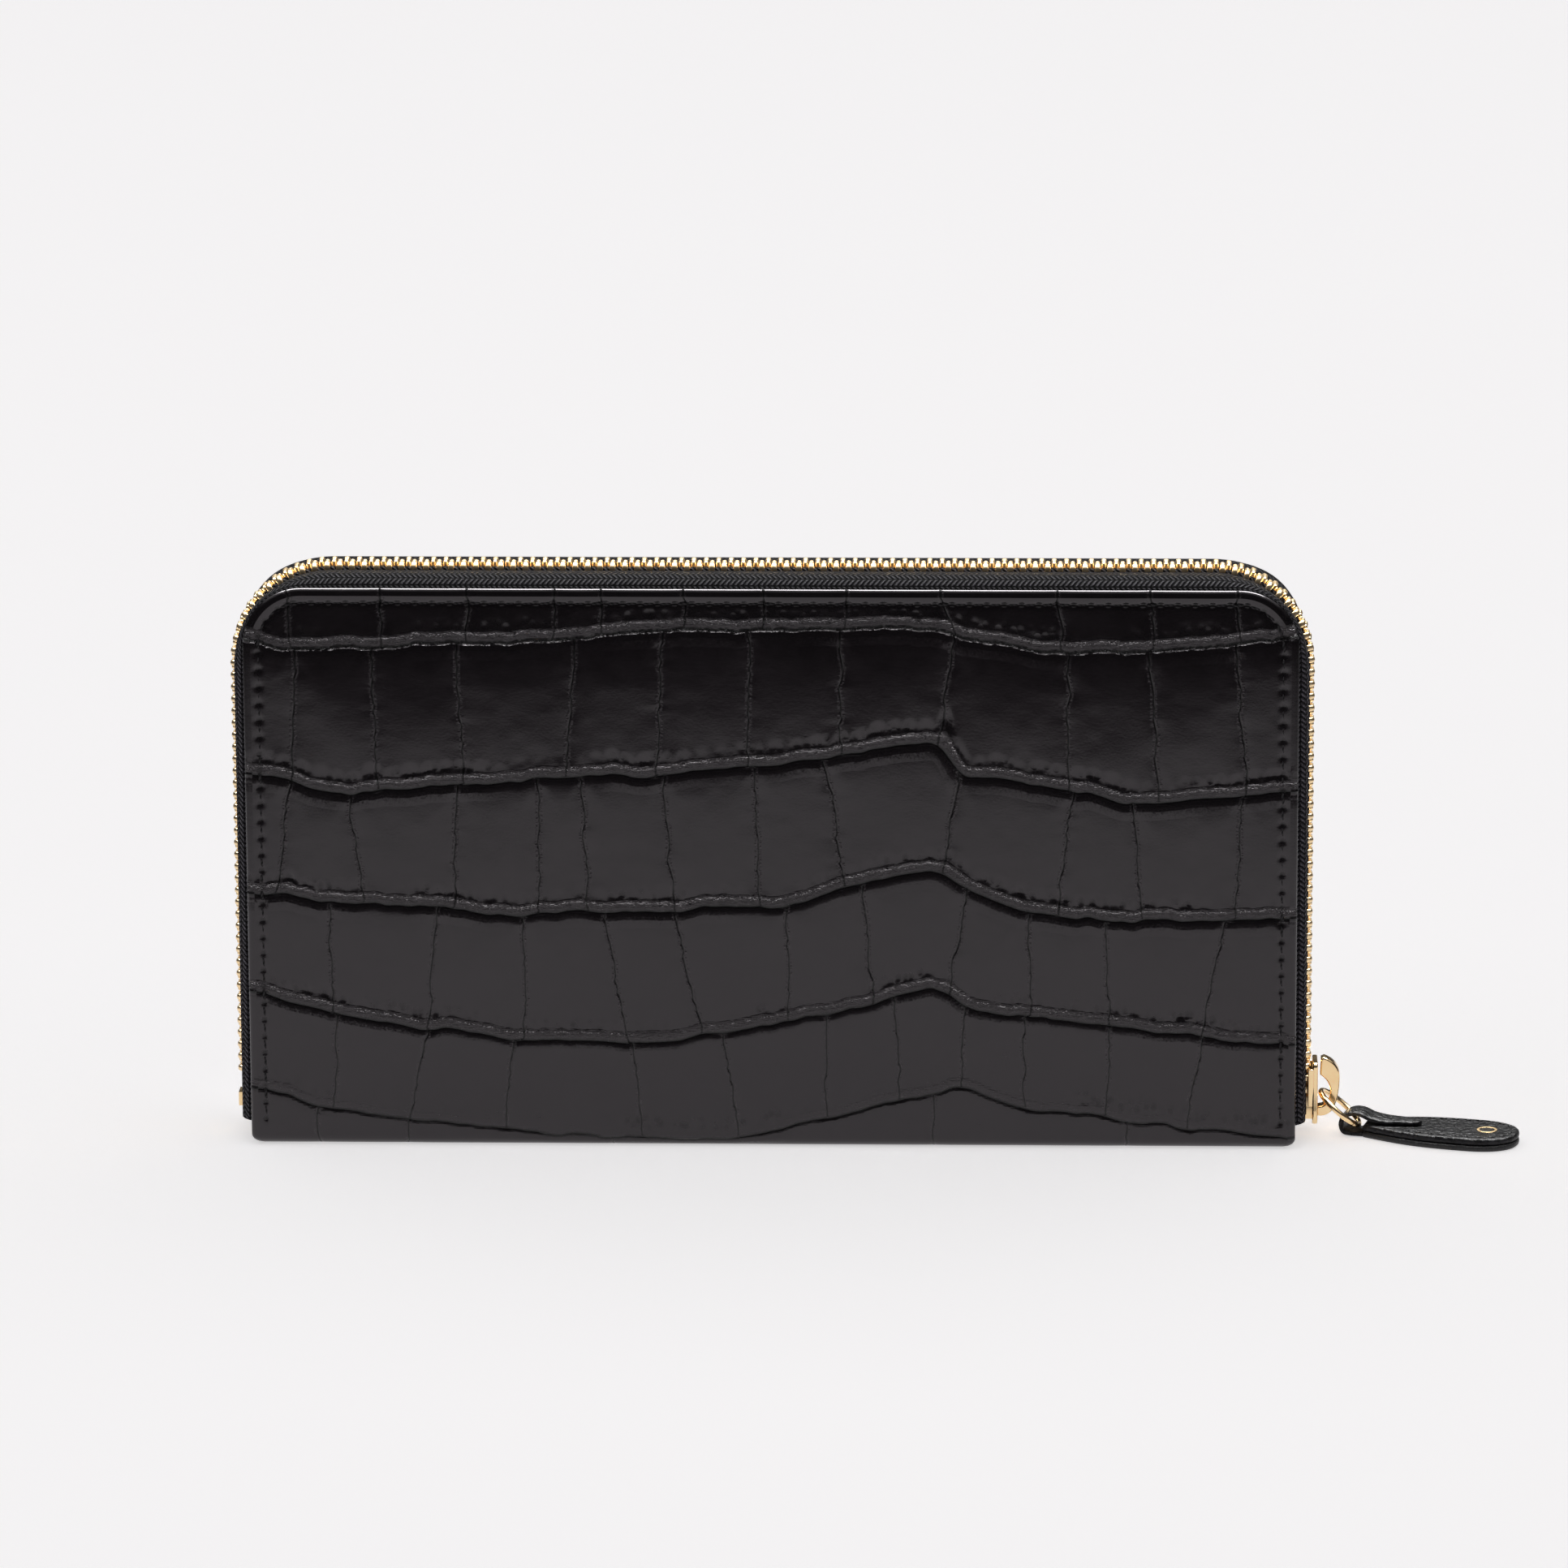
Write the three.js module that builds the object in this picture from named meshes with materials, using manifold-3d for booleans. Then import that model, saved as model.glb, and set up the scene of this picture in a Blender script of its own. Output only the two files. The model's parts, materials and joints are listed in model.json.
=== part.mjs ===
// A zip around wallet, standing closed on its spine.
//
// Millimetres, +Z up. +X runs along the spine towards the end where the zip slider parks, and -Y is
// the front. The origin is the centre of the spine's underside.

import * as THREE from 'three';
import { mergeVertices } from 'three/addons/utils/BufferGeometryUtils.js';
import Module from 'manifold-3d';

const wasm = await Module();
wasm.setup();

// ---------------------------------------------------------------- driving dimensions

const HALF_LENGTH = 97.5; // leather edge to the centre, along X
const HEIGHT = 107; // leather's top edge
const HALF_DEPTH = 11; // outer face of each cover
const LEATHER = 1.2;
const CORNER = 11; // the covers' top corners
const FOOT_CORNER = 1.6; // the covers' bottom corners
const COVER_FOOT = 2; // lowest edge of each cover above the ground

const BOARD = 0.8;
const LINING = 0.5;
const BOARD_INSET = 7; // leaves room for the tape's sewn margin
const CLEAR = 0.05; // between pieces that nearly touch

const TAPE = 0.55;
const TAPE_MARGIN = 6; // the width sewn between leather and lining
const TAPE_FOOT = 4.4;
const CHAIN_CORNER = 19; // outer radius of the row of teeth at the corners
const CHAIN_PROUD = 3; // teeth beyond the leather's edge
const PITCH = 2.3;
const TOOTH_WIDTH = 0.85;
const BEAD_WIDTH = 0.8; // the strip that a row of teeth is clamped on
const BEAD_OVER = 0.05; // the bead is this much thicker than the teeth

const INNER_FACE = HALF_DEPTH - LEATHER - BOARD - LINING;
const POCKET_LAYER = 0.5;
const COIN_HALF_LENGTH = 85;
const COIN_TOP = 86;
const COIN_FACE = 5.2; // outer face of each coin pocket wall
const COIN_WALL = 0.8;

const PULL_TURN = -14; // degrees that the puller is turned towards the front
const PULL_LENGTH = 34;
const PULL_WIDTH = 13.5;
const PULL_LAYER = 1.25;

// One zip: everything across the chain is measured from its centre plane.
const MAIN_ZIP = { chain: 2.6, half: 1.1, lap: 0.75, body: 12, lead: 4.1, rear: 3.5 };
const COIN_ZIP = { chain: 2.0, half: 0.9, lap: 0.6, body: 9.5, lead: 3.3, rear: 2.8 };

// ---------------------------------------------------------------- materials

const finish = (color, roughness, metalness = 0) => () =>
  new THREE.MeshStandardMaterial({ color, roughness, metalness });

const leather = finish(0x1c1b1d, 0.35);
const smoothLeather = finish(0x232124, 0.5);
const board = finish(0x8d8474, 0.9);
const cloth = finish(0x17171a, 0.9);
const tapeCloth = finish(0x101012, 0.95);
const thread = finish(0x0c0c0d, 0.6);
const brass = finish(0xe2b56f, 0.2, 1);

// ---------------------------------------------------------------- helpers

const group = new THREE.Group();
group.name = 'zip_around_wallet';

const BOTH_SIDES = [
  { side: -1, name: 'front' },
  { side: 1, name: 'rear' },
];

function add(parent, name, geometry, material) {
  const mesh = new THREE.Mesh(geometry, material());
  mesh.name = name;
  parent.add(mesh);
  return mesh;
}

// A box between two corners, given in any order.
function block([x0, y0, z0], [x1, y1, z1]) {
  const geometry = new THREE.BoxGeometry(Math.abs(x1 - x0), Math.abs(y1 - y0), Math.abs(z1 - z0));
  return geometry.translate((x0 + x1) / 2, (y0 + y1) / 2, (z0 + z1) / 2);
}

function toSolid(geometry) {
  const bare = geometry.clone();
  bare.deleteAttribute('normal');
  bare.deleteAttribute('uv');
  const merged = mergeVertices(bare, 1e-4);
  return new wasm.Manifold(
    new wasm.Mesh({
      numProp: 3,
      vertProperties: new Float32Array(merged.attributes.position.array),
      triVerts: new Uint32Array(merged.index.array),
    }),
  );
}

function toGeometry(solid) {
  const mesh = solid.getMesh();
  const geometry = new THREE.BufferGeometry();
  geometry.setAttribute('position', new THREE.BufferAttribute(new Float32Array(mesh.vertProperties), 3));
  geometry.setIndex(new THREE.BufferAttribute(new Uint32Array(mesh.triVerts), 1));
  return geometry;
}

function join(pieces) {
  return toGeometry(pieces.map(toSolid).reduce((whole, piece) => whole.add(piece)));
}

// A rectangle with its own radius at each pair of corners, as an outline in the drawing plane.
function roundedOutline(left, right, low, high, lowRadius, highRadius) {
  const outline = new THREE.Shape();
  outline.moveTo(left + lowRadius, low);
  outline.lineTo(right - lowRadius, low);
  outline.absarc(right - lowRadius, low + lowRadius, lowRadius, -Math.PI / 2, 0);
  outline.lineTo(right, high - highRadius);
  outline.absarc(right - highRadius, high - highRadius, highRadius, 0, Math.PI / 2);
  outline.lineTo(left + highRadius, high);
  outline.absarc(left + highRadius, high - highRadius, highRadius, Math.PI / 2, Math.PI);
  outline.lineTo(left, low + lowRadius);
  outline.absarc(left + lowRadius, low + lowRadius, lowRadius, Math.PI, Math.PI * 1.5);
  return outline;
}

function extrude(outline, depth, curveSegments, bevel = 0) {
  return new THREE.ExtrudeGeometry(outline, {
    depth: depth - 2 * bevel,
    curveSegments,
    bevelEnabled: bevel > 0,
    bevelThickness: bevel,
    bevelSize: bevel,
    bevelOffset: -bevel,
    bevelSegments: 1,
  }).translate(0, 0, bevel);
}

// An outline drawn in X and Z, given thickness from near to far along Y.
function uprightSheet(outline, near, far, curveSegments = 2, bevel = 0) {
  const low = Math.min(near, far);
  const thickness = Math.abs(far - near);
  return extrude(outline, thickness, curveSegments, bevel)
    .rotateX(Math.PI / 2)
    .translate(0, low + thickness, 0);
}

// A closed body through rings of equal length, with flat ends.
function loft(rings) {
  const sides = rings[0].length;
  const index = [];
  for (let ring = 0; ring < rings.length - 1; ring += 1) {
    for (let side = 0; side < sides; side += 1) {
      const a = ring * sides + side;
      const b = ring * sides + ((side + 1) % sides);
      index.push(a, b, b + sides, a, b + sides, a + sides);
    }
  }
  for (const [ring, turned] of [[0, true], [rings.length - 1, false]]) {
    const flat = flatten(rings[ring]);
    for (const [a, b, c] of THREE.ShapeUtils.triangulateShape(flat, [])) {
      const corners = [a, b, c].map((corner) => corner + ring * sides);
      index.push(...(turned ? corners.reverse() : corners));
    }
  }
  const geometry = new THREE.BufferGeometry().setFromPoints(rings.flat());
  geometry.setIndex(index);
  return facingOut(geometry);
}

// A ring's points in its own plane, in an order that keeps its turning sense.
function flatten(ring) {
  const origin = ring[0];
  const normal = new THREE.Vector3();
  for (let i = 0; i < ring.length; i += 1) {
    const a = ring[i].clone().sub(origin);
    const b = ring[(i + 1) % ring.length].clone().sub(origin);
    normal.add(a.cross(b));
  }
  normal.normalize();
  const across = ring[1].clone().sub(origin).normalize();
  const along = normal.clone().cross(across);
  return ring.map((point) => {
    const offset = point.clone().sub(origin);
    return new THREE.Vector2(offset.dot(across), offset.dot(along));
  });
}

// Turns every face over if the body is inside out.
function facingOut(geometry) {
  const position = geometry.attributes.position;
  const index = geometry.index.array;
  const corner = (k) => new THREE.Vector3().fromBufferAttribute(position, index[k]);
  let volume = 0;
  for (let k = 0; k < index.length; k += 3) {
    volume += corner(k).dot(corner(k + 1).cross(corner(k + 2)));
  }
  if (volume < 0) {
    for (let k = 0; k < index.length; k += 3) {
      [index[k + 1], index[k + 2]] = [index[k + 2], index[k + 1]];
    }
  }
  return geometry;
}

// ---------------------------------------------------------------- the zip's route round the covers

const CHAIN_MIDDLE = CHAIN_CORNER - MAIN_ZIP.half; // radius of the chain's middle at a corner
const HUB_X = HALF_LENGTH + CHAIN_PROUD - CHAIN_CORNER;
const HUB_Z = HEIGHT + CHAIN_PROUD - CHAIN_CORNER;

// Distance from a corner's hub to the leather's edge, in the direction of an angle.
function leatherRadius(angle) {
  const inset = HALF_LENGTH - CORNER;
  const flatEnd = HALF_LENGTH - HUB_X;
  const [cos, sin] = [Math.cos(angle), Math.sin(angle)];
  const straight = flatEnd / Math.max(cos, sin);
  if (HUB_X + straight * Math.min(cos, sin) <= inset) {
    return straight;
  }
  const offset = inset - HUB_X;
  const along = offset * (cos + sin);
  return along + Math.sqrt(along * along - 2 * offset * offset + CORNER * CORNER);
}

// Stations up the right end, over the top and down the left end. Each has a base point, the outward
// direction there, and how far the leather's edge and the chain's middle lie from the base.
function zipStations(rightFoot, leftFoot, cornerSteps = 7) {
  const stations = [];
  const straight = { leather: HALF_LENGTH - HUB_X, chain: CHAIN_MIDDLE };
  const put = (x, z, angle, reach) => stations.push({
    base: new THREE.Vector3(x, 0, z),
    out: new THREE.Vector3(Math.cos(angle), 0, Math.sin(angle)),
    ...reach,
  });
  put(HUB_X, rightFoot, 0, straight);
  for (const hub of [1, -1]) {
    for (let step = 0; step <= cornerSteps; step += 1) {
      const turn = ((step / cornerSteps) * Math.PI) / 2;
      const fromEnd = hub > 0 ? turn : Math.PI / 2 - turn;
      const reach = { leather: leatherRadius(fromEnd), chain: CHAIN_MIDDLE };
      put(hub * HUB_X, HUB_Z, hub > 0 ? turn : Math.PI / 2 + turn, reach);
    }
  }
  put(-HUB_X, leftFoot, Math.PI, straight);
  return stations;
}

// A strip round the covers. Each corner of its section has a place across the wallet, a share of the
// way from the leather's edge to the chain, and an offset outwards.
function stripRound(stations, section) {
  return loft(stations.map(({ base, out, leather: edge, chain }) =>
    section.map(([y, share, offset]) => {
      const radius = THREE.MathUtils.lerp(edge, chain, share) + offset;
      return base.clone().addScaledVector(out, radius).setY(y);
    })));
}

// A point on the chain's middle, and the outward angle, at a distance from the right foot.
function chainPlace(distance, foot) {
  const end = HUB_Z - foot;
  const arc = (CHAIN_MIDDLE * Math.PI) / 2;
  const top = 2 * HUB_X;
  const middle = HUB_X + CHAIN_MIDDLE;
  if (distance < end) {
    return { x: middle, z: foot + distance, angle: 0 };
  }
  if (distance < end + arc) {
    const angle = (distance - end) / CHAIN_MIDDLE;
    return {
      x: HUB_X + CHAIN_MIDDLE * Math.cos(angle),
      z: HUB_Z + CHAIN_MIDDLE * Math.sin(angle),
      angle,
    };
  }
  if (distance < end + arc + top) {
    return { x: HUB_X - (distance - end - arc), z: HUB_Z + CHAIN_MIDDLE, angle: Math.PI / 2 };
  }
  if (distance < end + 2 * arc + top) {
    const angle = Math.PI / 2 + (distance - end - arc - top) / CHAIN_MIDDLE;
    return {
      x: -HUB_X + CHAIN_MIDDLE * Math.cos(angle),
      z: HUB_Z + CHAIN_MIDDLE * Math.sin(angle),
      angle,
    };
  }
  return { x: -middle, z: HUB_Z - (distance - end - 2 * arc - top), angle: Math.PI };
}

// ---------------------------------------------------------------- zip pieces

// One row of teeth joined by the bead that they are clamped on. The teeth reach past the middle, so
// two rows mesh half a pitch apart.
function teethRow({ chain, half, lap }, side, bead, places) {
  const root = side * (chain - BEAD_WIDTH / 2);
  const low = [-half, root, -TOOTH_WIDTH / 2];
  const high = [half, -side * lap, TOOTH_WIDTH / 2];
  const teeth = places.map(({ x, z, angle }) => block(low, high).rotateY(-angle).translate(x, 0, z));
  return join([bead, ...teeth]);
}

// The slider's two plates, the side lips that wrap the chain, and the wedge that parts it. The chain
// runs along Z through its middle, X points outwards, and its leading end is the lower one.
function sliderBody({ chain, half, body, lead, rear }) {
  const gap = 0.3;
  const plate = 1;
  const slit = 0.55; // half the gap that the tape runs through
  const inside = half + gap;
  const lipInner = chain + 0.35;
  const outline = new THREE.Shape();
  outline.moveTo(-lead + 2, 0);
  outline.lineTo(lead - 2, 0);
  outline.quadraticCurveTo(lead, 0, lead, 2.2);
  outline.lineTo(rear, body * 0.6);
  outline.lineTo(rear, body - 1);
  outline.quadraticCurveTo(rear, body, rear - 1, body);
  outline.lineTo(1 - rear, body);
  outline.quadraticCurveTo(-rear, body, -rear, body - 1);
  outline.lineTo(-rear, body * 0.6);
  outline.lineTo(-lead, 2.2);
  outline.quadraticCurveTo(-lead, 0, 2 - lead, 0);
  // The outline is drawn in Y and Z, and thickened along X.
  const upright = (shape, depth, from) => extrude(shape, depth, 4)
    .applyMatrix4(new THREE.Matrix4().makeBasis(
      new THREE.Vector3(0, 1, 0),
      new THREE.Vector3(0, 0, 1),
      new THREE.Vector3(1, 0, 0),
    ))
    .translate(from, 0, 0);
  const wedge = new THREE.Shape();
  wedge.moveTo(-0.9, 0.5);
  wedge.lineTo(0.9, 0.5);
  wedge.lineTo(0.9, body * 0.3);
  wedge.lineTo(0, body * 0.42);
  wedge.lineTo(-0.9, body * 0.3);
  wedge.closePath();
  const pieces = [
    upright(outline, plate, inside),
    upright(outline, plate, -inside - plate),
    upright(wedge, 2 * inside + 1, -inside - 0.5),
  ];
  for (const side of [-1, 1]) {
    for (const face of [-1, 1]) {
      pieces.push(block(
        [face * slit, side * lipInner, body * 0.3],
        [face * (inside + 0.5), side * (rear - CLEAR), body - 1.2],
      ));
    }
  }
  return join(pieces);
}

// A hook that rises from the slider's leading end and turns back over the window for the ring. Its
// outline is drawn outwards from the plate and up from the slider's foot.
function sliderCrown(scale, width) {
  const hook = new THREE.Shape();
  hook.moveTo(0, 1.2);
  hook.quadraticCurveTo(2.6, 0.9, 3.4, 3.6);
  hook.quadraticCurveTo(4.3, 6.4, 4.1, 9.4);
  hook.quadraticCurveTo(3.8, 11.6, 1.2, 12.6);
  hook.lineTo(0.6, 12.3);
  hook.lineTo(0.45, 9.2);
  hook.quadraticCurveTo(2.3, 8, 2.4, 6);
  hook.quadraticCurveTo(2.3, 4, 0.9, 3.2);
  hook.lineTo(0, 3);
  hook.closePath();
  return uprightSheet(hook, -width / 2, width / 2, 4, 0.25).scale(scale, 1, scale);
}

// ---------------------------------------------------------------- spine

function spine() {
  const slab = (halfX, halfY, low, high) => block([-halfX, -halfY, low], [halfX, halfY, high]);
  const foldedEdge = roundedOutline(-HALF_LENGTH, HALF_LENGTH, -HALF_DEPTH, HALF_DEPTH, 1, 1);
  add(group, 'spine_leather', extrude(foldedEdge, LEATHER, 2), leather);
  add(group, 'spine_board', slab(95, 8, LEATHER, LEATHER + BOARD), board);
  add(group, 'spine_lining', slab(94, 8, LEATHER + BOARD, 2.6), cloth);
  const stopX = HALF_LENGTH + CHAIN_PROUD - MAIN_ZIP.half;
  const stop = block([-stopX - 1.2, -1.8, 5], [-stopX + 1.2, 1.8, 7.6]);
  add(group, 'zip_bottom_stop', stop, brass);
}

// ---------------------------------------------------------------- covers

function cover({ side, name }) {
  const at = (depth) => side * depth;
  const panel = roundedOutline(-HALF_LENGTH, HALF_LENGTH, COVER_FOOT, HEIGHT, FOOT_CORNER, CORNER);
  const innerLeather = HALF_DEPTH - LEATHER;
  add(group, `${name}_panel`, uprightSheet(panel, at(HALF_DEPTH), at(innerLeather), 4, 0.4), leather);

  const half = HALF_LENGTH - BOARD_INSET;
  const boardShape = roundedOutline(-half, half, 3, HEIGHT - BOARD_INSET, 1, 5);
  add(group, `${name}_board`, uprightSheet(boardShape, at(innerLeather), at(innerLeather - BOARD)), board);

  const edge = 1.5;
  const liningHalf = HALF_LENGTH - edge;
  const liningShape = roundedOutline(-liningHalf, liningHalf, 3, HEIGHT - edge, 1, CORNER - edge);
  const liningFace = innerLeather - BOARD;
  add(group, `${name}_lining`, uprightSheet(liningShape, at(liningFace), at(INNER_FACE)), cloth);

  const sewn = innerLeather - CLEAR;
  const flat = TAPE / 2;
  const tapeSection = [
    [at(sewn), 0, -TAPE_MARGIN],
    [at(sewn), 0, 0],
    [at(7.4), 0.8, flat],
    [at(MAIN_ZIP.chain), 1, flat],
    [at(MAIN_ZIP.chain), 1, -flat],
    [at(7.2), 0.8, -flat],
    [at(sewn - TAPE), 0, -0.6],
    [at(sewn - TAPE), 0, -TAPE_MARGIN],
  ];
  const tape = stripRound(zipStations(TAPE_FOOT, TAPE_FOOT), tapeSection);
  add(group, `${name}_zip_tape`, tape, tapeCloth);
  add(group, `${name}_zip_teeth`, mainTeeth(side), brass);

  const seam = 2.8;
  const seamSection = [
    [at(HALF_DEPTH), 0, -seam - 0.3],
    [at(HALF_DEPTH), 0, -seam + 0.3],
    [at(HALF_DEPTH + 0.25), 0, -seam + 0.3],
    [at(HALF_DEPTH + 0.25), 0, -seam - 0.3],
  ];
  add(group, `${name}_stitching`, stripRound(zipStations(4, 4), seamSection), thread);

  pockets(side, name);
}

function mainTeeth(side) {
  const foot = 8.6;
  const leftFoot = 9.2;
  const route = 2 * (HUB_Z - foot) + CHAIN_MIDDLE * Math.PI + 2 * HUB_X - (leftFoot - foot);
  const start = side < 0 ? 0.6 : 0.6 + PITCH / 2;
  const count = Math.floor((route - start) / PITCH);
  const places = Array.from({ length: count }, (_, i) => chainPlace(start + i * PITCH, foot));
  const outer = MAIN_ZIP.chain - CLEAR;
  const thick = MAIN_ZIP.half + BEAD_OVER;
  const beadSection = [
    [side * outer, 1, -thick],
    [side * outer, 1, thick],
    [side * (outer - BEAD_WIDTH), 1, thick],
    [side * (outer - BEAD_WIDTH), 1, -thick],
  ];
  const bead = stripRound(zipStations(foot - 3, leftFoot - 1), beadSection);
  const topStop = block([-1, side * (outer - 0.4), -1], [1, side * 1.45, 1])
    .translate(HUB_X + CHAIN_MIDDLE, 0, foot - 1.8);
  return teethRow(MAIN_ZIP, side, join([bead, topStop]), places);
}

// A tall slip pocket panel and three card strips stepped down in front of it.
function pockets(side, name) {
  const layers = [
    { piece: 'slip_pocket', half: 91, high: 92 },
    { piece: 'card_strip_top', half: 89, high: 80 },
    { piece: 'card_strip_middle', half: 89, high: 66 },
    { piece: 'card_strip_bottom', half: 89, high: 52 },
  ];
  layers.forEach(({ piece, half, high }, i) => {
    const from = side * (INNER_FACE - i * POCKET_LAYER);
    const shape = roundedOutline(-half, half, 8, high, 1, 2);
    const sheet = uprightSheet(shape, from, from - side * POCKET_LAYER);
    add(group, `${name}_${piece}`, sheet, smoothLeather);
  });
}

// ---------------------------------------------------------------- centre coin pocket

const COIN_CHAIN_Z = COIN_TOP + 2.4;
const COIN_CHAIN_HALF = 77;

function coinPocket() {
  const low = 2.6;
  for (const { side, name } of BOTH_SIDES) {
    const shape = roundedOutline(-COIN_HALF_LENGTH, COIN_HALF_LENGTH, low, COIN_TOP, 0.5, 2);
    const wall = uprightSheet(shape, side * COIN_FACE, side * (COIN_FACE - COIN_WALL));
    add(group, `coin_pocket_${name}_wall`, wall, smoothLeather);
    add(group, `coin_zip_${name}_tape`, coinTape(side), tapeCloth);
    add(group, `coin_zip_${name}_teeth`, coinTeeth(side), brass);
  }
  for (const [end, name] of [[-1, 'left'], [1, 'right']]) {
    const inner = COIN_FACE - COIN_WALL - CLEAR;
    const binding = block(
      [end * (COIN_HALF_LENGTH - 1.2), -inner, low],
      [end * COIN_HALF_LENGTH, inner, COIN_TOP - 7],
    );
    add(group, `coin_pocket_${name}_binding`, binding, smoothLeather);
  }
}

function coinTape(side) {
  const inner = COIN_FACE - COIN_WALL - CLEAR;
  const flat = 0.2;
  const section = [
    [inner, COIN_TOP - 6],
    [inner, COIN_TOP + 0.6],
    [3.6, COIN_CHAIN_Z + flat],
    [COIN_ZIP.chain, COIN_CHAIN_Z + flat],
    [COIN_ZIP.chain, COIN_CHAIN_Z - flat],
    [3.5, COIN_CHAIN_Z - flat],
    [inner - 0.45, COIN_TOP + 0.4],
    [inner - 0.45, COIN_TOP - 6],
  ];
  const end = COIN_CHAIN_HALF + 4;
  return loft([-end, end].map((x) => section.map(([y, z]) => new THREE.Vector3(x, side * y, z))));
}

function coinTeeth(side) {
  const start = -COIN_CHAIN_HALF + (side < 0 ? 0 : PITCH / 2);
  const parked = COIN_CHAIN_HALF - 5; // the slider's wedge starts past the last tooth
  const count = Math.floor((parked - start) / PITCH);
  const places = Array.from({ length: count }, (_, i) => ({
    x: start + i * PITCH,
    z: COIN_CHAIN_Z,
    angle: Math.PI / 2,
  }));
  const outer = COIN_ZIP.chain - CLEAR;
  const thick = COIN_ZIP.half + BEAD_OVER;
  const bead = block(
    [-COIN_CHAIN_HALF - 1, side * outer, COIN_CHAIN_Z - thick],
    [parked, side * (outer - BEAD_WIDTH), COIN_CHAIN_Z + thick],
  );
  return teethRow(COIN_ZIP, side, bead, places);
}

// The coin slider's own frame: its chain runs along Z and outwards is X, so it is laid over to run
// along X with its leading end to the right.
function coinSlider() {
  const slider = new THREE.Group();
  slider.position.set(COIN_CHAIN_HALF - 1, 0, COIN_CHAIN_Z);
  slider.rotation.set(0, -Math.PI / 2, 0);
  group.add(slider);
  add(slider, 'coin_slider_body', sliderBody(COIN_ZIP), brass);
  const crown = add(slider, 'coin_slider_crown', sliderCrown(0.72, 2), brass);
  const plateFace = COIN_ZIP.half + 1.3;
  crown.position.set(plateFace, 0, 0);

  // The tab's end bar sits in the crown's window, and its eye clears the crown's head.
  const bar = 0.45;
  const thick = 0.7;
  const tab = roundedOutline(-12.5, bar, -2, 2, 0.8, 0.8);
  const eye = new THREE.Path();
  eye.moveTo(-bar, -1.25);
  eye.lineTo(-bar, 1.25);
  eye.lineTo(-6.2, 1.25);
  eye.lineTo(-6.2, -1.25);
  eye.closePath();
  tab.holes.push(eye);
  const pull = add(group, 'coin_pull_tab', extrude(tab, thick, 3), brass);
  pull.position.set(COIN_CHAIN_HALF - 5.1, 0, COIN_CHAIN_Z + plateFace + 0.75 - thick / 2);
}

// ---------------------------------------------------------------- gussets

// Each gusset is a fan that lies folded flat between a coin pocket wall and a cover's card strips.
function gussets() {
  const near = COIN_FACE + 0.45;
  const thick = 0.5;
  for (const { side, name } of BOTH_SIDES) {
    for (const [end, where] of [[-1, 'left'], [1, 'right']]) {
      const fan = new THREE.Shape();
      fan.moveTo(end * 88, 3.2);
      fan.lineTo(end * 94, 3.2);
      fan.lineTo(end * 94, 82);
      fan.lineTo(end * 70, 82);
      fan.closePath();
      const sheet = uprightSheet(fan, side * near, side * (near + thick));
      add(group, `gusset_${name}_${where}`, facingOut(toGeometry(toSolid(sheet))), cloth);
    }
  }
}

// ---------------------------------------------------------------- main slider, ring and puller

const SLIDER_FOOT = 2.6;
const SLIDER_X = HALF_LENGTH + CHAIN_PROUD - MAIN_ZIP.half;
const PLATE_FACE = SLIDER_X + MAIN_ZIP.half + 1.3;
const WIRE = 0.55; // radius of the ring's wire
const RING_RADIUS = 4.65; // to the wire's centre
const RING_SLOPE = 40; // degrees down from the slider to the puller
const RING_PIVOT = new THREE.Vector3(PLATE_FACE + WIRE + 0.15, 0, 8.1);
const PULL_PIVOT = RING_PIVOT.clone().add(
  new THREE.Vector3(1, 0, 0)
    .applyAxisAngle(new THREE.Vector3(0, 1, 0), THREE.MathUtils.degToRad(RING_SLOPE))
    .multiplyScalar(2 * RING_RADIUS),
);

function mainSlider() {
  const slider = new THREE.Group();
  slider.position.set(SLIDER_X, 0, SLIDER_FOOT);
  group.add(slider);
  add(slider, 'slider_body', sliderBody(MAIN_ZIP), brass);
  const crown = add(slider, 'slider_crown', sliderCrown(1, 2.8), brass);
  crown.position.set(PLATE_FACE - SLIDER_X, 0, 0);
}

function pullRing() {
  const ring = new THREE.TorusGeometry(RING_RADIUS, WIRE, 7, 24);
  const slope = THREE.MathUtils.degToRad(RING_SLOPE);
  const mesh = add(group, 'pull_ring', ring, brass);
  mesh.rotation.set(0, slope, 0);
  mesh.position.copy(RING_PIVOT).add(PULL_PIVOT).multiplyScalar(0.5);
}

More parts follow.
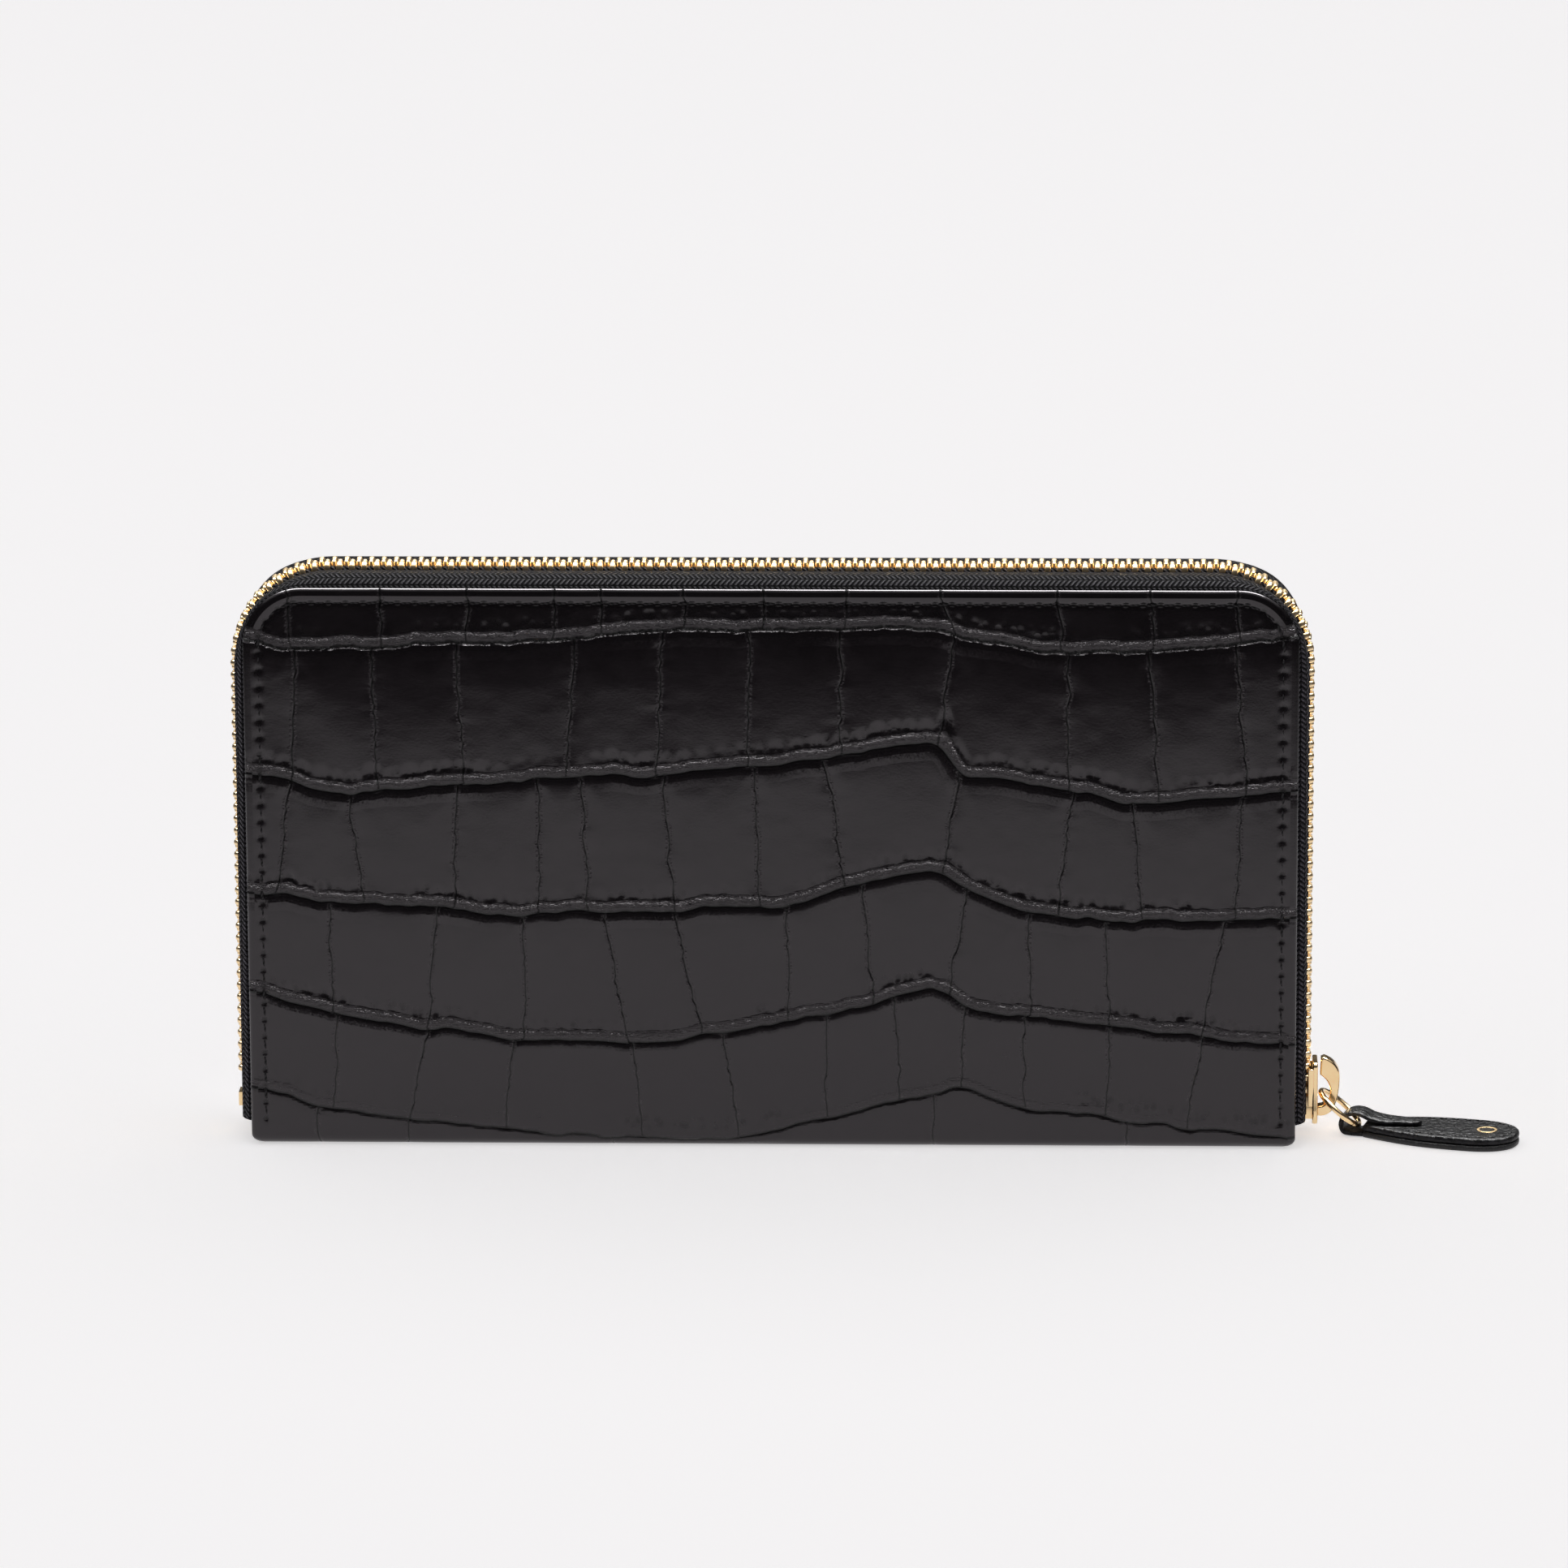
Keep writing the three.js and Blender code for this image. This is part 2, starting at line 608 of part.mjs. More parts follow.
// The puller's frame has its origin on the ring's wire, X along the puller and Z up.
function puller() {
  const pull = new THREE.Group();
  pull.position.copy(PULL_PIVOT);
  pull.rotation.set(0, 0, THREE.MathUtils.degToRad(PULL_TURN));
  group.add(pull);

  const floor = CLEAR - PULL_PIVOT.z;
  const back = -3.5; // the strap's rounded end
  const tip = back + PULL_LENGTH;
  const joint = 4.6; // where the two layers start

  const flat = new THREE.Shape();
  const half = PULL_WIDTH / 2;
  flat.moveTo(joint, -3.2);
  flat.bezierCurveTo(joint + 5, -half + 1, joint + 8, -half, tip - 9, -half);
  flat.bezierCurveTo(tip - 3, -half, tip, -4, tip, 0);
  flat.bezierCurveTo(tip, 4, tip - 3, half, tip - 9, half);
  flat.bezierCurveTo(joint + 8, half, joint + 5, half - 1, joint, 3.2);
  flat.closePath();
  const layer = (low) => extrude(flat, PULL_LAYER, 7).translate(0, 0, low);
  add(pull, 'puller_lower_leather', layer(floor), smoothLeather);
  add(pull, 'puller_upper_leather', layer(floor + PULL_LAYER + CLEAR), leather);

  const wall = 1;
  const top = floor + 2 * PULL_LAYER + 2 * CLEAR;
  const strap = new THREE.Shape();
  strap.moveTo(joint - CLEAR, floor);
  strap.lineTo(joint - CLEAR, top);
  strap.lineTo(12, top);
  strap.lineTo(12, top + 0.9);
  strap.lineTo(4.6, top + 1);
  strap.quadraticCurveTo(2.4, 2.7, -0.4, 2.8);
  strap.quadraticCurveTo(back, 2.8, back, 0.3);
  strap.quadraticCurveTo(back, floor, -1.4, floor);
  strap.closePath();
  const cavity = new THREE.Path();
  cavity.moveTo(-1.2, floor + wall);
  cavity.quadraticCurveTo(back + wall, floor + wall, back + wall, 0.2);
  cavity.quadraticCurveTo(back + wall, 1.8, -0.2, 1.8);
  cavity.quadraticCurveTo(1.6, 1.6, 2.6, floor + wall + 0.7);
  cavity.quadraticCurveTo(2.8, floor + wall, 2.2, floor + wall);
  cavity.closePath();
  strap.holes.push(cavity);
  const width = 5.2;
  const loop = uprightSheet(strap, -width / 2, width / 2, 5);
  add(pull, 'puller_strap', loop, leather);

  const seam = stitchLoop(flat, 1.3, top - CLEAR);
  add(pull, 'puller_stitching', seam, thread);
}

// A run of thread inside an outline, from the strap's side round the tip and back.
function stitchLoop(outline, inset, height) {
  const points = outline.getPoints(7);
  const line = [];
  for (let i = 1; i < points.length - 1; i += 1) {
    const before = points[Math.max(i - 1, 0)];
    const after = points[i + 1];
    const along = after.clone().sub(before).normalize();
    const inward = new THREE.Vector2(-along.y, along.x);
    const middle = points[i].clone().addScaledVector(inward, inset);
    if (after.distanceTo(before) > 0.1 && middle.x > 8.6) {
      line.push({ middle, inward });
    }
  }
  return loft(line.map(({ middle, inward }) => [[-0.3, 0], [0.3, 0], [0.3, 0.25], [-0.3, 0.25]]
    .map(([across, up]) => {
      const point = middle.clone().addScaledVector(inward, across);
      return new THREE.Vector3(point.x, point.y, height + up);
    })));
}

// ---------------------------------------------------------------- assembly

spine();
BOTH_SIDES.forEach(cover);
coinPocket();
coinSlider();
gussets();
mainSlider();
pullRing();
puller();

export default group;
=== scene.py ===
import json
import math

import bmesh
import bpy
import numpy as np
from mathutils import Matrix, Vector


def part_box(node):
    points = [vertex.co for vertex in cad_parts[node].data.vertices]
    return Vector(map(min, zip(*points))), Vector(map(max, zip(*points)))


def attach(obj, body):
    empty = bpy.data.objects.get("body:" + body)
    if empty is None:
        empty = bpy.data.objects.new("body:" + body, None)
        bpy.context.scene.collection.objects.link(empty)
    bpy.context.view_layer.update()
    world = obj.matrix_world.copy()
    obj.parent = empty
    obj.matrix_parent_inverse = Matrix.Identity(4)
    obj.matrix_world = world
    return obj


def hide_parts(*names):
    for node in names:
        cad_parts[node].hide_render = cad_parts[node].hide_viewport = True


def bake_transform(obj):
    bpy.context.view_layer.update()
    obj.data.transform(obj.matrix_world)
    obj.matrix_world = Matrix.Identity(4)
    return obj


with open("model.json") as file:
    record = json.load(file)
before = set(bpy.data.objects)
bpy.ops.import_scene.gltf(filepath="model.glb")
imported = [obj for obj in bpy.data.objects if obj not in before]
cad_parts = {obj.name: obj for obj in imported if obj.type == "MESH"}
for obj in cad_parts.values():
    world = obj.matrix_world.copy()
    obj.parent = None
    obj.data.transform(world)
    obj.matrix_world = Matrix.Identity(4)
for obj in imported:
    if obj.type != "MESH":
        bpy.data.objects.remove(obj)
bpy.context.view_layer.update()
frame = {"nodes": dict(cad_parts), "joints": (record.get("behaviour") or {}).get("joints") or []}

# A zip around wallet in black croc-embossed leather with gold zips. Shapes are worked out in
# millimetres in the CAD frame, and turned to metres when a mesh is made.

MM = 0.001
SIDES = ((-1, "front"), (1, "rear"))


def span(node):
    """Lowest and highest corner of a CAD node, in millimetres."""
    low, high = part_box(node)
    return np.array(low) / MM, np.array(high) / MM


def pivot(joint):
    """A joint's place, in millimetres."""
    found = next(j for j in frame["joints"] if j["name"] == joint)
    return np.array(found["pos_m"]) / MM


# ---------------------------------------------------------------- sizes that several pieces share

HALF_LENGTH = span("front_panel")[1][0]
HEIGHT = span("front_panel")[1][2]
DEPTH = -span("front_panel")[0][1]
CORNER = 11  # radius of the covers' top corners
INNER_LEATHER = DEPTH - 1.2  # the back of a cover's leather

CHAIN_X = sum(end[0] for end in span("slider_body")) / 2
CHAIN_TOP = span("front_zip_teeth")[1][2] - 1.15
CHAIN_RADIUS = 17.9
HUB = (CHAIN_X - CHAIN_RADIUS, CHAIN_TOP - CHAIN_RADIUS)  # centre of the zip's bend at a corner
PITCH = 2.3  # of the teeth

SEAM_INSET = 2.8
TURNED_EDGE = 1.4  # radius of the covers' rounded rims
FULLNESS = 0.6  # the covers' soft faces stand this far proud of the CAD panels at their middle
FOLD = 2.2  # radius of the fold from a cover to the wallet's underside
STITCH_PITCH = 3.2

# A zip: half the width and half the thickness of its chain, how far a tooth passes the middle, and its
# slider's length and half widths at the leading and the rear end.
MAIN_ZIP = {"chain": 2.6, "half": 1.1, "lap": 0.75, "body": 12, "lead": 4.1, "rear": 3.5}
COIN_ZIP = {"chain": 2.0, "half": 0.9, "lap": 0.6, "body": 9.5, "lead": 3.3, "rear": 2.8}


# ---------------------------------------------------------------- mesh helpers


def add_mesh(name, body, points, faces, material, stands_for=(), values=None, sharp=40):
    """A mesh object from points in millimetres, riding on a moving body if one is named.

    values are per-point vectors that its material reads.
    """
    mesh = bpy.data.meshes.new(name)
    mesh.from_pydata((np.asarray(points, float) * MM).tolist(), [], [list(f) for f in faces])
    mesh.polygons.foreach_set("use_smooth", [True] * len(mesh.polygons))
    mesh.set_sharp_from_angle(angle=math.radians(sharp))
    for key, vectors in (values or {}).items():
        vectors = np.asarray(vectors, np.float32)
        mesh.attributes.new(key, "FLOAT_VECTOR", "POINT").data.foreach_set("vector", vectors.ravel())
    mesh.materials.append(material)
    piece = bpy.data.objects.new(name, mesh)
    bpy.context.scene.collection.objects.link(piece)
    if stands_for:
        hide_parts(*stands_for)
    if body:
        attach(piece, body)
    return piece


def grid_faces(rows, columns, around=False, flip=False):
    """Quads over rows of points. around closes each row into a ring."""
    last = columns if around else columns - 1
    faces = []
    for row in range(rows - 1):
        for column in range(last):
            after = (column + 1) % columns
            quad = [row * columns + column, row * columns + after]
            quad += [(row + 1) * columns + after, (row + 1) * columns + column]
            faces.append(quad[::-1] if flip else quad)
    return faces


def around(count):
    """Evenly spaced angles of a full turn."""
    return np.linspace(0, 2 * math.pi, count, endpoint=False)


def travelled(path):
    """Distance along a path to each of its points."""
    return np.concatenate([[0], np.cumsum(np.linalg.norm(np.diff(path, axis=0), axis=1))])


def tube(rings):
    """A closed body through rings of points, with a flat cap on each end."""
    rings = np.asarray(rings, float)
    count, sides = rings.shape[:2]
    faces = grid_faces(count, sides, around=True)
    faces.append(list(range(sides))[::-1])
    faces.append([(count - 1) * sides + i for i in range(sides)])
    return facing_out(rings.reshape(-1, 3), faces)


def facing_out(points, faces):
    """Turns a closed body's faces outwards."""
    volume = 0
    for face in faces:
        first = points[face[0]]
        for a, b in zip(face[1:], face[2:]):
            volume += np.dot(first, np.cross(points[a], points[b]))
    return (points, faces) if volume > 0 else (points, [face[::-1] for face in faces])


def merge(parts):
    """Several (points, faces) pairs as one."""
    points, faces, count = [], [], 0
    for more, shapes in parts:
        points.append(np.asarray(more, float))
        faces += [[i + count for i in face] for face in shapes]
        count += len(more)
    return np.concatenate(points), faces


def framed(points, origin, x_axis, y_axis, z_axis):
    """Points given along three axes of their own, in the CAD frame."""
    return np.asarray(points, float) @ np.array([x_axis, y_axis, z_axis], float) + np.asarray(origin, float)


def outline(start, *moves, steps=8):
    """Points of a path. Each move is the points of a line, a quadratic curve or a cubic curve."""
    ring = [start]
    for move in moves:
        controls = [ring[-1], *move]
        count = 1 if len(controls) == 2 else steps
        for step in range(1, count + 1):
            level = [np.array(p, float) for p in controls]
            while len(level) > 1:
                level = [a + (b - a) * step / count for a, b in zip(level, level[1:])]
            ring.append(tuple(level[0]))
    return ring


def rounded(left, right, low, high, radius):
    """A rectangle with round corners, as an outline."""
    return outline(
        (left + radius, low),
        ((right - radius, low),), ((right, low), (right, low + radius)),
        ((right, high - radius),), ((right, high), (right - radius, high)),
        ((left + radius, high),), ((left, high), (left, high - radius)),
        ((left, low + radius),), ((left, low), (left + radius - 0.01, low)),
    )


def plate(shape, low, high, bevel=0.2, holes=()):
    """An outline thickened from low to high, with rounded rims. Points come back as (u, v, height)."""
    curve = bpy.data.curves.new("outline", "CURVE")
    curve.dimensions = "2D"
    curve.fill_mode = "BOTH"
    curve.extrude = (high - low) / 2 - bevel
    curve.bevel_depth = bevel
    curve.bevel_resolution = 2
    curve.offset = -bevel
    for ring in (shape, *holes):
        spline = curve.splines.new("POLY")
        spline.points.add(len(ring) - 1)
        for point, (u, v) in zip(spline.points, ring):
            point.co = (u, v, 0, 1)
        spline.use_cyclic_u = True
    holder = bpy.data.objects.new("outline", curve)
    mesh = bpy.data.meshes.new_from_object(holder)
    shell = bmesh.new()
    shell.from_mesh(mesh)
    bmesh.ops.remove_doubles(shell, verts=shell.verts, dist=1e-4)
    bmesh.ops.recalc_face_normals(shell, faces=shell.faces)
    points = np.array([v.co for v in shell.verts])
    points[:, 2] += (low + high) / 2
    faces = [[v.index for v in face.verts] for face in shell.faces]
    shell.free()
    bpy.data.objects.remove(holder)
    bpy.data.curves.remove(curve)
    bpy.data.meshes.remove(mesh)
    return points, faces


def replicate(template, places):
    """A template's body set down at each place, which is (origin, x_axis, y_axis, z_axis)."""
    points, faces = template
    return merge([(framed(points, *place), faces) for place in places])


def noise(x, z, size, seed):
    """Smooth seeded noise from -1 to 1, with features of a given size."""
    lattice = np.random.default_rng(seed).random((128, 128)) * 2 - 1
    u, v = np.asarray(x, float) / size + 500, np.asarray(z, float) / size + 500
    column, row = np.floor(u).astype(int), np.floor(v).astype(int)
    s, t = u - column, v - row
    s, t = s * s * (3 - 2 * s), t * t * (3 - 2 * t)
    at = lambda dc, dr: lattice[(column + dc) % 128, (row + dr) % 128]
    return (at(0, 0) * (1 - s) + at(1, 0) * s) * (1 - t) + (at(0, 1) * (1 - s) + at(1, 1) * s) * t


def bump_at(distance, width):
    """1 on a line and falling away either side of it."""
    return np.exp(-((distance / width) ** 2))


# ---------------------------------------------------------------- material helpers


def add_node(tree, kind, inputs=None, **settings):
    made = tree.nodes.new(kind)
    for key, value in settings.items():
        setattr(made, key, value)
    for key, value in (inputs or {}).items():
        if isinstance(value, bpy.types.NodeSocket):
            tree.links.new(value, made.inputs[key])
        else:
            made.inputs[key].default_value = value
    return made


def maths(tree, operation, a, b=0.0):
    """One sum of two sockets or numbers."""
    return add_node(tree, "ShaderNodeMath", {0: a, 1: b}, operation=operation).outputs[0]


def fade(tree, value, low, high):
    """A value's share of the way from low to high, kept from 0 to 1."""
    inputs = {"Value": value, "From Min": low, "From Max": high}
    return add_node(tree, "ShaderNodeMapRange", inputs).outputs[0]


def lerp(tree, value, low, high):
    """A share from 0 to 1, spread from low to high."""
    inputs = {"Value": value, "To Min": low, "To Max": high}
    return add_node(tree, "ShaderNodeMapRange", inputs).outputs[0]


def blend_colours(tree, share, a, b):
    """Colour a, and colour b where share is 1. a may be a colour that was worked out before."""
    first = (*a, 1) if isinstance(a, tuple) else a
    return add_node(tree, "ShaderNodeMix", {0: share, 6: first, 7: (*b, 1)}, data_type="RGBA").outputs[2]


def where(tree, stretch=(1, 1, 1)):
    """The place on the object in millimetres, stretched along each axis."""
    place = add_node(tree, "ShaderNodeTexCoord").outputs["Object"]
    scale = tuple(1000 * s for s in stretch)
    return add_node(tree, "ShaderNodeVectorMath", {0: place, 1: scale}, operation="MULTIPLY").outputs[0]


def cloud(tree, place, size, detail=3.0, rough=0.5):
    """Soft noise from 0 to 1, with features of a size in millimetres."""
    inputs = {"Vector": place, "Scale": 1 / size, "Detail": detail, "Roughness": rough}
    return add_node(tree, "ShaderNodeTexNoise", inputs).outputs["Fac"]


def cells(tree, place, size, feature="DISTANCE_TO_EDGE"):
    """Distance from the edge of a cell, or from its middle with F1. Cells are size millimetres wide."""
    inputs = {"Vector": place, "Scale": 1 / size}
    return add_node(tree, "ShaderNodeTexVoronoi", inputs, feature=feature).outputs["Distance"]


def split(tree, vector):
    return add_node(tree, "ShaderNodeSeparateXYZ", {0: vector}).outputs


def stored(tree, name):
    """The three parts of a vector kept on the mesh's points."""
    return split(tree, add_node(tree, "ShaderNodeAttribute", attribute_name=name).outputs["Vector"])


def product(tree, *factors):
    value = factors[0]
    for factor in factors[1:]:
        value = maths(tree, "MULTIPLY", value, factor)
    return value


def highest(tree, *values):
    top = values[0]
    for value in values[1:]:
        top = maths(tree, "MAXIMUM", top, value)
    return top


def raised(tree, height, depth, below=None):
    """Bump of a height from 0 to 1, depth in millimetres."""
    inputs = {"Height": height, "Distance": depth * MM, "Strength": 1.0}
    if below is not None:
        inputs["Normal"] = below
    return add_node(tree, "ShaderNodeBump", inputs).outputs["Normal"]


def new_material(name, **constants):
    """A material with constants on its shader's own sockets, its node tree and its shader."""
    made = bpy.data.materials.new(name)
    made.use_nodes = True
    shader = made.node_tree.nodes["Principled BSDF"]
    for key, value in constants.items():
        shader.inputs[key.replace("_", " ")].default_value = value
    return made, made.node_tree, shader


def connect(tree, shader, colour=None, roughness=None, normal=None):
    for key, socket in (("Base Color", colour), ("Roughness", roughness), ("Normal", normal)):
        if socket is not None:
            tree.links.new(socket, shader.inputs[key])


# ---------------------------------------------------------------- materials


def line(tree, distance, middle, half_width):
    """1 where a distance is middle, and 0 from half_width of it."""
    away = maths(tree, "ABSOLUTE", maths(tree, "SUBTRACT", distance, middle))
    return fade(tree, away, half_width, 0.0)


def close_in(tree, distance, side):
    """A distance made exact near a line. side runs from -1 to 1 across the 0.6 mm either side of it."""
    near = product(tree, maths(tree, "ABSOLUTE", side), 0.6)
    return highest(tree, near, maths(tree, "SUBTRACT", distance, 0.6))


def croc_leather():
    """Glazed black leather with an embossed crocodile grain.

    The mesh's points hold lines (distance from a long crease, the side of it, distance from a short
    crease) and marks (stitch hole, how wrinkled, side of the short crease). The grooves drawn from
    them here stay finer than the mesh.
    """
    made, tree, shader = new_material(
        "croc_leather", Coat_Weight=0.5, Coat_Roughness=0.09, Specular_IOR_Level=0.33
    )
    place = where(tree)
    rise = split(tree, place)[2]
    far_long, side_long, far_short = stored(tree, "lines")
    hole, patchy, side_short = stored(tree, "marks")
    off_long = close_in(tree, far_long, side_long)
    off_short = close_in(tree, far_short, side_short)
    over = fade(tree, side_long, 0.0, 0.6)
    under = fade(tree, side_long, 0.0, -0.3)
    ragged = lerp(tree, cloud(tree, place, 0.9, 4, 0.7), -0.16, 0.16)
    beads = fade(tree, cloud(tree, where(tree, (1, 1, 1.4)), 0.8, 3, 0.6), 0.40, 0.62)

    # The grooves, and the broken rims of the short ones, which are painted paler as a painted highlight.
    long_groove = line(tree, maths(tree, "ADD", off_long, ragged), 0.0, 0.50)
    short_groove = line(tree, maths(tree, "ADD", off_short, product(tree, ragged, 0.5)), 0.0, 0.22)
    lit_short_rim = product(tree, line(tree, off_short, 0.38, 0.20), beads)
    hole = product(tree, fade(tree, hole, 0.25, 0.9), 0.7)

    # Rope-like strands and toothed dents above a long crease, hairlines below it, and glints near the top.
    strands = fade(tree, cloud(tree, where(tree, (0.55, 1, 1.7)), 0.62, 3, 0.6), 0.36, 0.66)
    rope = product(tree, line(tree, off_long, 0.95, 0.85), over, strands, fade(tree, rise, 2.0, 30.0))
    teeth = fade(tree, cells(tree, where(tree, (1, 1, 0.7)), 1.5, "F1"), 0.55, 0.10)
    dents = product(tree, teeth, line(tree, off_long, 2.6, 1.7), over, patchy)
    hairlines = cloud(tree, where(tree, (1, 1, 0.2)), 0.4, 3, 0.6)
    hairs = product(tree, line(tree, off_long, 1.0, 1.6), under, patchy, hairlines)
    glint = product(tree, fade(tree, off_long, 0.45, 0.05), beads, fade(tree, rise, 86.0, 94.0))

    # Painted shade: the long and short grooves, the dents and the stitch holes are painted near black, and
    # their specular tint is cut nearly to nothing, as if shade filled the hollows.
    dark = highest(tree, product(tree, dents, 0.5), long_groove, hole, short_groove)
    colour = blend_colours(tree, cloud(tree, place, 9, 3), (0.0030, 0.0024, 0.0028), (0.0070, 0.0056, 0.0066))
    # Painted highlight: the rope's raised strands are painted paler than the leather round them. The strands'
    # pattern is the grain, and their paleness is painted light.
    colour = blend_colours(tree, product(tree, rope, 0.8), colour, (0.026, 0.022, 0.024))
    # Painted highlight: the broken rims of the short creases are painted paler, as if they caught the light.
    colour = blend_colours(tree, lit_short_rim, colour, (0.022, 0.019, 0.021))
    colour = blend_colours(tree, dark, colour, (0.0008, 0.0007, 0.0008))
    groove_shade_tint = blend_colours(tree, dark, (1.0, 0.88, 0.96), (0.02, 0.02, 0.02))
    tree.links.new(groove_shade_tint, shader.inputs["Specular Tint"])
    rough = lerp(tree, cloud(tree, place, 3.5, 5), 0.20, 0.30)
    rough = maths(tree, "ADD", rough, product(tree, highest(tree, dark, rope), 0.20))

    height = product(tree, cloud(tree, place, 0.45, 4, 0.6), 0.009)
    creped = cloud(tree, where(tree, (0.7, 1, 1.3)), 2.1, 5, 0.7)
    for share, depth in (
        (creped, 0.015), (rope, 0.18), (hairs, 0.12), (lit_short_rim, 0.04), (glint, -0.36),
        (dents, -0.10), (long_groove, -0.10), (short_groove, -0.14), (hole, -0.04),
    ):
        height = maths(tree, "ADD", height, product(tree, share, depth))
    normal = raised(tree, height, 1.0)
    connect(tree, shader, colour, rough, normal)
    tree.links.new(normal, shader.inputs["Coat Normal"])
    return made


def plain_leather(name, dark, light, cell, depth, rough=0.45, shine=0.4):
    """Smooth calf leather with a fine pebbled grain and a few long creases."""
    made, tree, shader = new_material(name, Specular_IOR_Level=shine)
    place = where(tree)
    pebbles = cells(tree, place, cell)
    creases = cloud(tree, where(tree, (1, 1, 0.35)), 2.6, 5, 0.65)
    colour = blend_colours(tree, cloud(tree, place, 7, 4), dark, light)
    # Painted shade: the grain's crevices, the low lines of the bump, are painted darker.
    colour = blend_colours(tree, fade(tree, pebbles, 0.10, 0.0), colour, tuple(c * 0.4 for c in dark))
    roughness = lerp(tree, cloud(tree, place, 2, 3), rough - 0.07, rough + 0.10)
    normal = raised(tree, fade(tree, pebbles, 0.0, 0.3), depth)
    normal = raised(tree, creases, depth * 4, normal)
    connect(tree, shader, colour, roughness, normal)
    return made


def zip_tape():
    """Woven tape: chevrons of single yarns. run is (along, across) the strip in millimetres."""
    made, tree, shader = new_material("zip_tape", Specular_IOR_Level=0.06)
    along, across, _ = stored(tree, "run")
    column = maths(tree, "FRACT", maths(tree, "DIVIDE", across, 2.5))
    lean = maths(tree, "ABSOLUTE", maths(tree, "SUBTRACT", column, 0.5))
    turns = maths(tree, "ADD", maths(tree, "DIVIDE", along, 0.95), product(tree, lean, 2.2))
    yarn = fade(tree, maths(tree, "SINE", product(tree, turns, 2 * math.pi)), -1.0, 1.0)
    off_middle = maths(tree, "ABSOLUTE", maths(tree, "SUBTRACT", lean, 0.25))
    height = product(tree, yarn, fade(tree, off_middle, 0.25, 0.17))
    fuzz = cloud(tree, where(tree), 0.25, 2)
    fibres = product(tree, fade(tree, fuzz, 0.45, 0.7), height)
    # Painted shade and highlight: the yarns' hollows are painted near black and their crests paler, and the
    # fuzz on the crests is painted as pale speckled highlights.
    colour = blend_colours(tree, height, (0.0003, 0.0003, 0.0004), (0.042, 0.038, 0.046))
    colour = blend_colours(tree, fibres, colour, (0.22, 0.205, 0.24))
    normal = raised(tree, fuzz, 0.03, raised(tree, height, 0.45))
    connect(tree, shader, colour, lerp(tree, height, 1.0, 0.42), normal)
    return made


def thread():
    """Twisted waxed thread. run is (along the stitch, angle round it)."""
    made, tree, shader = new_material("thread", Specular_IOR_Level=0.15)
    along, angle, _ = stored(tree, "run")
    turns = maths(tree, "ADD", product(tree, along, 7.0), product(tree, angle, 2.0))
    ply = fade(tree, maths(tree, "SINE", turns), -1.0, 1.0)
    fuzz = cloud(tree, where(tree), 0.2, 2)
    # Painted highlight and shade: each ply's crown is painted paler and the twist's grooves darker.
    colour = blend_colours(tree, ply, (0.004, 0.004, 0.0044), (0.032, 0.029, 0.032))
    connect(tree, shader, colour, lerp(tree, fuzz, 0.35, 0.6), raised(tree, ply, 0.08))
    return made


def gold_metal(name, rough, light, dark):
    """Polished pale gold plating with faint handling marks."""
    made, tree, shader = new_material(name, Metallic=1.0)
    place = where(tree)
    scratches = cloud(tree, where(tree, (1, 1, 0.12)), 0.35, 4, 0.6)
    haze = cloud(tree, place, 2.2, 3)
    colour = blend_colours(tree, haze, dark, light)
    roughness = maths(tree, "ADD", lerp(tree, haze, rough, rough + 0.1), product(tree, scratches, 0.06))
    connect(tree, shader, colour, roughness, raised(tree, scratches, 0.006))
    return made


def lining_cloth():
    """Black twill: fine ribs that lean across the cloth."""
    made, tree, shader = new_material("lining_cloth", Sheen_Weight=0.4, Sheen_Roughness=0.5)
    ribs = {"Vector": where(tree, (1, 1, 0.7)), "Scale": 0.62, "Distortion": 0.4, "Detail": 1.0}
    twill = add_node(tree, "ShaderNodeTexWave", ribs, bands_direction="DIAGONAL").outputs["Fac"]
    slubs = cloud(tree, where(tree, (0.2, 1, 3)), 0.9, 3)
    # Painted highlight and shade: the raised twill ribs are painted paler than the hollows between them; the
    # slubs are the cloth's own tone.
    colour = blend_colours(tree, twill, (0.006, 0.006, 0.0068), (0.026, 0.025, 0.028))
    colour = blend_colours(tree, product(tree, slubs, 0.5), colour, (0.034, 0.033, 0.037))
    connect(tree, shader, colour, lerp(tree, slubs, 0.7, 0.95), raised(tree, twill, 0.06))
    return made


def stiffener_board():
    """Grey-brown pressed fibre board."""
    made, tree, shader = new_material("stiffener_board")
    fibres = cloud(tree, where(tree, (0.25, 1, 1.6)), 0.7, 5, 0.7)
    specks = fade(tree, cells(tree, where(tree), 1.6, "F1"), 0.22, 0.1)
    colour = blend_colours(tree, fibres, (0.19, 0.16, 0.12), (0.34, 0.29, 0.22))
    colour = blend_colours(tree, product(tree, specks, 0.4), colour, (0.10, 0.08, 0.06))
    connect(tree, shader, colour, lerp(tree, fibres, 0.8, 0.95), raised(tree, fibres, 0.05))
    return made


def studio_floor(name, darkens=False):
    """Plain pale light table with a barely seen mottle. One that darkens does so away from its middle."""
    made, tree, shader = new_material(name, Specular_IOR_Level=0.0, Emission_Strength=0.56)
    place = where(tree)
    mottle = cloud(tree, place, 90, 2)
    colour = blend_colours(tree, mottle, (0.905, 0.893, 0.899), (0.915, 0.903, 0.909))
    glow = blend_colours(tree, mottle, (1, 0.984, 0.991), (1, 0.986, 0.993))
    if darkens:
        reach = add_node(tree, "ShaderNodeVectorMath", {0: place}, operation="LENGTH").outputs["Value"]
        away = fade(tree, reach, 270, 490)
        colour = blend_colours(tree, away, colour, (0.006, 0.006, 0.006))
        glow = blend_colours(tree, away, glow, (0.001, 0.001, 0.001))
    tree.links.new(glow, shader.inputs["Emission Color"])
    connect(tree, shader, colour, lerp(tree, mottle, 0.85, 0.9))
    return made


